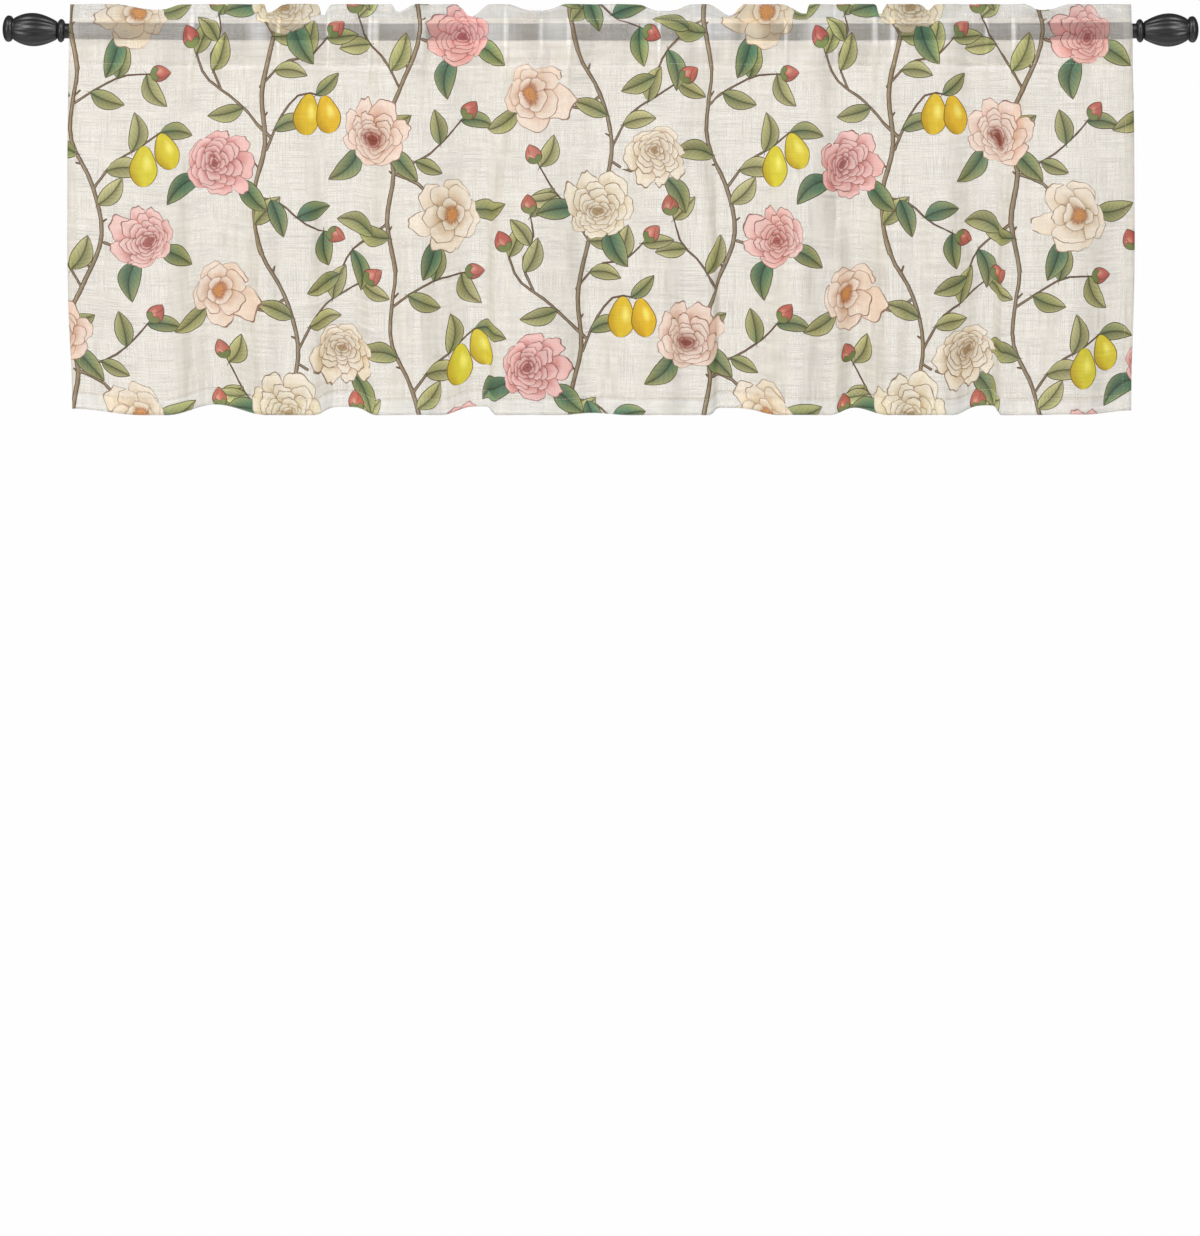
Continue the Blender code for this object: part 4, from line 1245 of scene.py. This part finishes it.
def makeCloth(materials):
    # Two grids, the printed face and its back, joined by a rim. Each face of the grid gets the material
    # of the plainest kind that has room for the motifs on it.
    rows, count = clothMiddle.shape[:2]
    half = cloth["thickness"] / 2.0
    faceSide = clothMiddle + clothNormals * half
    backSide = clothMiddle - clothNormals * half
    total = rows * count
    vertices = np.concatenate([faceSide.reshape(-1, 3), backSide.reshape(-1, 3)])
    front = gridFaces(rows, count, flip=True)
    back = gridFaces(rows, count, total)
    index = np.arange(total).reshape(rows, count)
    rim = np.concatenate([index[0, :], index[1:, -1], index[-1, -2::-1], index[-2:0:-1, 0]])
    nextRim = np.roll(rim, -1)
    edge = np.stack([rim, nextRim, nextRim + total, rim + total], axis=1)
    faces = np.concatenate([front, back, edge])
    piece = makePiece("valance_cloth", vertices, faces, materials[0])
    mesh = piece.data
    for material in materials[1:]:
        mesh.materials.append(material)

    flat = np.stack(np.meshgrid(flatAcross, flatUp), -1).reshape(-1, 2)
    flat = np.concatenate([flat, flat])
    corners = flat[faces] * 1000.0
    printed = len(front) + len(back)
    motifs = trailMotifs()
    needs = []
    for name, layers in zip(printing["sorts"], printing["mostLayers"]):
        places, looks, taken, hidden, lost = layMotifs(motifs[name], layers, corners[:len(front)])
        needs.append(taken)
        far = np.full((len(edge), 4, 3), printing["far"])
        for layer in range(layers):
            mirrored = places[layer][:, ::-1]
            addData(mesh, f"{name}Place{layer}", np.concatenate([places[layer], mirrored, far]), "CORNER")
            look = np.concatenate([looks[layer], looks[layer], np.zeros((len(edge), 3))])
            addData(mesh, f"{name}Look{layer}", look, "FACE")
        print(name, "motifs", len(motifs[name]), "a repeat; faces left out", lost)
    needs = [need * ~hidden for need in needs[:-1]] + needs[-1:]    # a blossom hides what lies under it
    # a face with more on it than any kind has room for gets the one for its blossoms
    kindNames = [kind[0] for kind in printing["kinds"]]
    kindOf = np.where(needs[-1] > 1, kindNames.index("posy"), kindNames.index("tangle")).astype(np.int32)
    settled = np.zeros(len(front), dtype=bool)
    for number, (name, *layers) in enumerate(printing["kinds"]):
        fits = ~settled & np.all([need <= most for need, most in zip(needs, layers)], axis=0)
        kindOf[fits] = number
        settled |= fits
        print("faces of kind", name, fits.sum())
    print("faces of no kind", (~settled).sum())
    slots = np.concatenate([kindOf, kindOf, np.zeros(len(edge), np.int32)])
    mesh.polygons.foreach_set("material_index", slots)

    behind = np.array([row[2] > 0 for row in section])
    strength = np.repeat(np.where(behind, layering["backPrint"], 1.0), count)
    addData(mesh, "printStrength", np.concatenate([strength, strength * layering["reversePrint"]]), "POINT")
    addData(mesh, "litThrough", np.tile(layerLight().reshape(-1, 3), (2, 1)), "POINT")
    low, high = layering["bandRows"]
    onRod = np.repeat([1.0 if row[0] == "pocket" and low < row[1] < high else 0.0 for row in section], count)
    addData(mesh, "overRod", np.tile(onRod, 2), "POINT")
    addData(mesh, "gathered", np.tile(gatherDensity().ravel(), 2), "POINT")

    flatMap = mesh.uv_layers.new(name="flatCloth")
    flatMap.data.foreach_set("uv", flat[faces].astype(np.float32).ravel())
    bakeMap = mesh.uv_layers.new(name="OFBake")
    span = flatAcross[-1] * bakeLayout["span"]
    bake = (flat[faces] - [0.0, flatUp.min()]) / span
    bake = bake * bakeLayout["shrink"] + bakeLayout["border"]
    height = (flatUp.max() - flatUp.min()) / span
    bake[len(front):printed, :, 1] += height + bakeLayout["gap"]
    rimShare = np.arange(len(edge))[:, None] + np.array([0.0, 1.0, 1.0, 0.0])
    bake[printed:, :, 0] = bakeLayout["border"] + bakeLayout["shrink"] * rimShare / len(edge)
    rimRise = bakeLayout["rimHigh"] * np.array([0.0, 0.0, 1.0, 1.0])
    bake[printed:, :, 1] = 2 * height + bakeLayout["rimAt"] + rimRise
    bakeMap.data.foreach_set("uv", bake.astype(np.float32).ravel())
    print("bake map reaches", bake.max(axis=(0, 1)))
    return piece


sewing = {
    "stitch": 0.0026,
    "pitch": 0.0034,
    "margin": 0.002,               # bare cloth at both ends of a row
    "threadRadius": 0.00013,
    "sunk": 0.00016,               # how far a stitch's ends go into the cloth
    "rise": 0.6,                   # how far its middle stands out, in the thread's radii
    "rings": (0.0, 0.14, 0.5, 0.86, 1.0),     # along a stitch, with the share of the radius there
    "taper": (0.45, 0.9, 1.0, 0.9, 0.45),
    "sideRound": 6,
    # rows across the cloth: zone, side, share of the zone's height
    "rows": (("pocket", -1, 1.0), ("pocket", 1, 1.0), ("pocket", -1, 0.03), ("pocket", 1, 0.05),
             ("hem", 1, 0.90)),
}


def stitchRun(points, normals):
    # Stitches at an even pitch along a line on the cloth. Each is a tube of a few rings whose centre rises
    # from under the cloth's face as sin(pi s), s from 0 to 1 along it, and whose ends are drawn in.
    length = np.concatenate([[0.0], np.cumsum(np.linalg.norm(np.diff(points, axis=0), axis=1))])
    count = int((length[-1] - 2.0 * sewing["margin"]) / sewing["pitch"])
    starts = sewing["margin"] + np.arange(count) * sewing["pitch"]
    share = np.array(sewing["rings"])
    along = (starts[:, None] + share * sewing["stitch"]).ravel()

    def follow(values, where):
        return np.stack([np.interp(where, length, values[:, axis]) for axis in range(3)], -1)

    middle = follow(points, along)
    normal = follow(normals, along)
    normal = normal / np.linalg.norm(normal, axis=1, keepdims=True)
    reach = 0.0003
    tangent = follow(points, np.minimum(along + reach, length[-1])) - follow(points, along - reach)
    across = np.cross(normal, tangent)
    across = across / np.linalg.norm(across, axis=1, keepdims=True)
    radius = np.tile(sewing["threadRadius"] * np.array(sewing["taper"]), count)
    climb = sewing["sunk"] + sewing["rise"] * sewing["threadRadius"]
    rise = np.tile(np.sin(math.pi * share), count) * climb
    middle = middle + normal * (cloth["thickness"] / 2.0 - sewing["sunk"] + rise)[:, None]
    sides = sewing["sideRound"]
    angle = np.arange(sides) * tau / sides
    ring = middle[:, None] + radius[:, None, None] * (
        np.cos(angle)[:, None] * normal[:, None] + np.sin(angle)[:, None] * across[:, None])
    return ring.reshape(count, len(share), sides, 3)


def stitchFaces(count, rings, sides):
    # side quads and two end faces for each stitch, all counted at once
    index = np.arange(rings * sides).reshape(rings, sides)
    onward = np.roll(index, -1, axis=1)
    quads = np.stack([index[:-1], index[1:], onward[1:], onward[:-1]], -1).reshape(-1, 4)
    ends = np.stack([index[0], index[-1][::-1]])
    base = (np.arange(count) * rings * sides)[:, None, None]
    return [(quads + base).reshape(-1, 4), (ends + base).reshape(-1, sides)]


def makeStitches(material):
    zones = [(row[0], row[2]) for row in section]
    shares = np.array([row[1] for row in section])
    runs = []

    def rowRun(zone, side, at):
        # the line at a share between two rows of one zone
        rows = [i for i, key in enumerate(zones) if key == (zone, side)]
        rows = sorted(rows, key=lambda i: shares[i])
        slot = int(np.clip(np.searchsorted(shares[rows], at) - 1, 0, len(rows) - 2))
        low, high = rows[slot], rows[slot + 1]
        mix = (at - shares[low]) / (shares[high] - shares[low])
        for grid in (clothMiddle, clothNormals):
            yield grid[low, 2:-2] * (1.0 - mix) + grid[high, 2:-2] * mix

    for row in sewing["rows"]:
        runs.append(stitchRun(*rowRun(*row)))
    # the hem's stitches in front, just above its first row, and both faces of the turned edges' stitches
    hemFront = zones.index(("hem", -1))
    runs.append(stitchRun(*[grid[hemFront - 1, 2:-2] * 0.5 + grid[hemFront, 2:-2] * 0.5
                            for grid in (clothMiddle, clothNormals)]))
    bodyRows = [i for i, key in enumerate(zones) if key == ("body", -1)]
    for sign in (-1, 1):
        ridge = sign * (cloth["halfWidth"] - cloth["sideHem"] + cloth["hemRidge"])
        column = int(np.argmin(np.abs(columns - ridge)))
        for face in (1.0, -1.0):
            runs.append(stitchRun(clothMiddle[bodyRows, column], face * clothNormals[bodyRows, column]))
    rings = np.concatenate(runs)
    count, ringCount, sides = rings.shape[:3]
    piece = makePiece("seam_stitches", rings.reshape(-1, 3), stitchFaces(count, ringCount, sides), material)
    print("stitches", count, "faces", len(piece.data.polygons))
    return piece


finial = {
    "rodEnd": 0.5915,
    "neck": (0.0006, 0.0058, 0.0084),      # from, to, radius
    "collar": (0.0058, 0.0082, 0.0084, 0.0131),    # from, length, foot radius, top radius
    "barrel": (0.0148, 0.0484, 0.0101, 0.0115),    # from, length, inner radius, outer radius
    "swell": (0.0080, 1.1, 0.78),         # height, skew towards the outer end, fullness
    "button": (0.0640, 0.0113, 0.0148, 0.42),      # from, length, radius, share of the shoulder
    "lobes": 14,
    "lobeTurn": -14.0,             # degrees of the lobes' wave
    "grooveDepth": 0.0010,
    "roundness": 1.4,              # above 1: narrower lobes with wide, soft grooves between them
    "sides": 192,
    "tilts": {"finial_left": (-1, 2.2), "finial_right": (1, 1.5)},   # direction, degrees up
}


def finialProfile():
    # distance out and radius: neck, round collar, skewed sine-arch barrel, quarter-round and shallow dome
    neckStart, neckEnd, neckRadius = finial["neck"]
    collarStart, collarLength, foot, crown = finial["collar"]
    barrelStart, barrelLength, inner, outer = finial["barrel"]
    height, skew, fullness = finial["swell"]
    buttonStart, buttonLength, rim, shoulder = finial["button"]
    turn = np.linspace(0.0, math.pi, 17)
    parts = [[(neckStart, 0.94 * neckRadius), (neckStart + 0.0004, neckRadius), (neckEnd, neckRadius)]]
    parts.append(np.stack([collarStart + collarLength * (1 - np.cos(turn)) / 2,
                           foot + (crown - foot) * np.sin(turn) ** 1.45], -1)[1:])
    share = np.linspace(0.0, 1.0, 49)
    arch = np.maximum(np.sin(math.pi * share ** skew), 0.0) ** fullness
    radius = inner + share * (outer - inner) + height * arch
    parts.append(np.stack([barrelStart + share * barrelLength, radius], -1))
    turn = np.linspace(0.0, math.pi / 2, 9)
    reach = shoulder * buttonLength
    out = buttonStart + reach * (1 - np.cos(turn))
    parts.append(np.stack([out, outer + (rim - outer) * np.sin(turn)], -1))
    turn = np.linspace(0.0, math.pi / 2, 17)[1:-1]
    out = buttonStart + reach + (buttonLength - reach) * np.sin(turn)
    parts.append(np.stack([out, rim * np.cos(turn)], -1))
    return np.concatenate(parts)


def makeFinial(name, material):
    # the profile turned round the rod's line; between the barrel's ends the radius is less by
    # depth sin(pi s)^0.6 (1 - |cos(n/2 angle + turn)|^roundness), which leaves n round lobes
    profile = finialProfile()
    direction, tilt = finial["tilts"][name]
    tilt = math.radians(tilt)
    sides = finial["sides"]
    angle = np.arange(sides) * tau / sides
    barrelStart, barrelLength = finial["barrel"][:2]
    share = np.clip((profile[:, 0] - barrelStart) / barrelLength, 0.0, 1.0)
    fade = np.sin(math.pi * share) ** 0.6 * (share > 0) * (share < 1)
    wave = np.abs(np.cos(finial["lobes"] / 2 * angle + math.radians(finial["lobeTurn"])))
    groove = finial["grooveDepth"] * fade[:, None] * (1.0 - wave ** finial["roundness"])
    radius = profile[:, 1:] - groove
    out = np.repeat(profile[:, :1], sides, axis=1)
    local = np.stack([out, radius * np.cos(angle), radius * np.sin(angle)], -1)
    poles = np.array([[profile[0, 0], 0.0, 0.0], [finial["button"][0] + finial["button"][1], 0.0, 0.0]])
    local = np.concatenate([local.reshape(-1, 3), poles])
    x = local[:, 0] * math.cos(tilt) - local[:, 2] * math.sin(tilt)
    z = local[:, 0] * math.sin(tilt) + local[:, 2] * math.cos(tilt)
    vertices = np.stack([direction * (finial["rodEnd"] + x), local[:, 1], z], -1)
    rows = len(profile)
    index = np.arange(rows * sides).reshape(rows, sides)
    foot = np.stack([np.roll(index[0], -1), index[0], np.full(sides, rows * sides)], -1)
    tip = np.stack([index[-1], np.roll(index[-1], -1), np.full(sides, rows * sides + 1)], -1)
    faces = [tubeFaces(index), np.concatenate([foot, tip])]
    if direction < 0:
        faces = [part[:, ::-1] for part in faces]
    piece = makePiece(name + "_turned", vertices, faces, material)
    piece.data.set_sharp_from_angle(angle=math.radians(50.0))
    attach(piece, "root")
    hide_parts(name)
    return piece


def makeRod(material):
    # a tube along X with rounded ends, whose line is sag (1 - (x / half length)^4) below the axis
    half, radius, rounding = rod["halfLength"], rod["radius"], rod["rounding"]
    turn = np.linspace(0.0, math.pi / 2, 6)
    endX = half - rounding * (1.0 - np.sin(turn))
    endRadius = radius - rounding * (1.0 - np.cos(turn))
    middleX = np.linspace(-half + rounding, half - rounding, rod["rings"] + 2)[1:-1]
    x = np.concatenate([-endX[::-1], middleX, endX])
    ring = np.concatenate([endRadius[::-1], np.full(rod["rings"], radius), endRadius])
    angle = np.arange(rod["sides"]) * tau / rod["sides"]
    line = -rod["sag"] * (1.0 - (x / half) ** 4)
    points = np.stack([np.repeat(x[:, None], len(angle), axis=1), ring[:, None] * np.cos(angle),
                       ring[:, None] * np.sin(angle) + line[:, None]], -1)
    index = np.arange(points.shape[0] * points.shape[1]).reshape(points.shape[:2])
    caps = np.stack([index[0][::-1], index[-1]])
    piece = makePiece("rod_tube", points.reshape(-1, 3), [tubeFaces(index), caps], material)
    piece.data.set_sharp_from_angle(angle=math.radians(50.0))
    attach(piece, "root")
    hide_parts("rod")


metal = metalMaterial()
makeRod(metal)
for finialName in finial["tilts"]:
    makeFinial(finialName, metal)
print("rod and end pieces made")
clothPiece = makeCloth(clothMaterials())
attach(clothPiece, "root")
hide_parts("valance_panel")
stitchPiece = makeStitches(threadMaterial())
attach(stitchPiece, "root")
print("cloth and stitches made")


studio = {
    "floorHeight": -1.9,
    "floorRadius": 3.2,
    "floorSides": 96,
    "floorColour": (0.82, 0.82, 0.81, 1.0),
    "frameHeight": 1236 * 0.001115,     # the frame's rows at 1.115 mm each, at the valance
    "cameraDistance": 9.0,
    "cameraAt": (-0.0006, -0.6545),     # x and z
    "worldSeen": 0.99,             # the surroundings as the camera, matt surfaces and gloss see them
    "worldLight": 0.58,
    "worldGloss": 0.12,
    "aim": (0.0, 0.0, -0.2),       # what each light is turned to
    # square lights: name, place, side, watts, and the kind of reflection that shows the light
    "lights": (
        ("keyLight", (-1.7, -2.8, 1.5), 1.5, 82.0, "matt"),
        ("fillLight", (2.2, -3.0, 0.9), 1.8, 26.0, "matt"),
        ("leftGloss", (-3.0, -2.4, -0.1), 1.2, 60.0, "gloss"),
        ("rightGloss", (3.0, -2.4, -0.1), 1.2, 60.0, "gloss"),
        ("leftHigh", (-2.1, -2.6, 2.9), 1.4, 120.0, "gloss"),
        ("rightHigh", (2.1, -2.6, 2.9), 1.4, 120.0, "gloss"),
        ("backLight", (0.9, 3.2, 1.3), 2.0, 62.0, "matt"),
    ),
}


def makeStudio():
    scene = bpy.context.scene
    scene.view_settings.view_transform = "Standard"
    floorMaterial, _, shader = newMaterial("paleFloor")
    shader.inputs["Base Color"].default_value = studio["floorColour"]
    shader.inputs["Roughness"].default_value = 0.9
    sides = studio["floorSides"]
    corner = np.arange(sides)
    angles = corner * tau / sides
    ring = np.stack([np.cos(angles), np.sin(angles), np.zeros(sides)], -1) * studio["floorRadius"]
    vertices = np.concatenate([ring, [[0.0, 0.0, 0.0]]]) + [0.0, 0.0, studio["floorHeight"]]
    spokes = np.stack([corner, (corner + 1) % sides, np.full(sides, sides)], axis=1)
    makePiece("floor", vertices, spokes, floorMaterial, smooth=False)
    world = bpy.data.worlds.new("studioWorld")
    scene.world = world
    world.use_nodes = True
    tree = world.node_tree
    path = tree.nodes.new("ShaderNodeLightPath")
    background = tree.nodes["Background"]
    background.inputs["Color"].default_value = (1.0, 1.0, 1.0, 1.0)
    seen = Wire(tree, path.outputs["Is Camera Ray"])
    gloss = Wire(tree, path.outputs["Is Glossy Ray"])
    strength = seen * (studio["worldSeen"] - studio["worldLight"]) + studio["worldLight"]
    strength = strength + gloss * (studio["worldGloss"] - studio["worldLight"])
    feed(tree, strength, background.inputs["Strength"])
    for name, place, size, watts, lit in studio["lights"]:
        lamp = bpy.data.lights.new(name, "AREA")
        lamp.energy = watts
        lamp.size = size
        light = bpy.data.objects.new(name, lamp)
        light.location = place
        towards = np.array(studio["aim"]) - np.array(place)
        light.rotation_euler = Vector(towards).to_track_quat("-Z", "Y").to_euler()
        light.visible_diffuse = lit == "matt"
        light.visible_glossy = lit == "gloss"
        scene.collection.objects.link(light)
    lens = bpy.data.cameras.new("camera")
    lens.sensor_width = 36.0
    lens.lens = 36.0 * studio["cameraDistance"] / studio["frameHeight"]
    lens.clip_end = 100.0
    camera = bpy.data.objects.new("camera", lens)
    camera.location = (studio["cameraAt"][0], -studio["cameraDistance"], studio["cameraAt"][1])
    camera.rotation_euler = (math.pi / 2.0, 0.0, 0.0)
    scene.collection.objects.link(camera)
    scene.camera = camera


makeStudio()
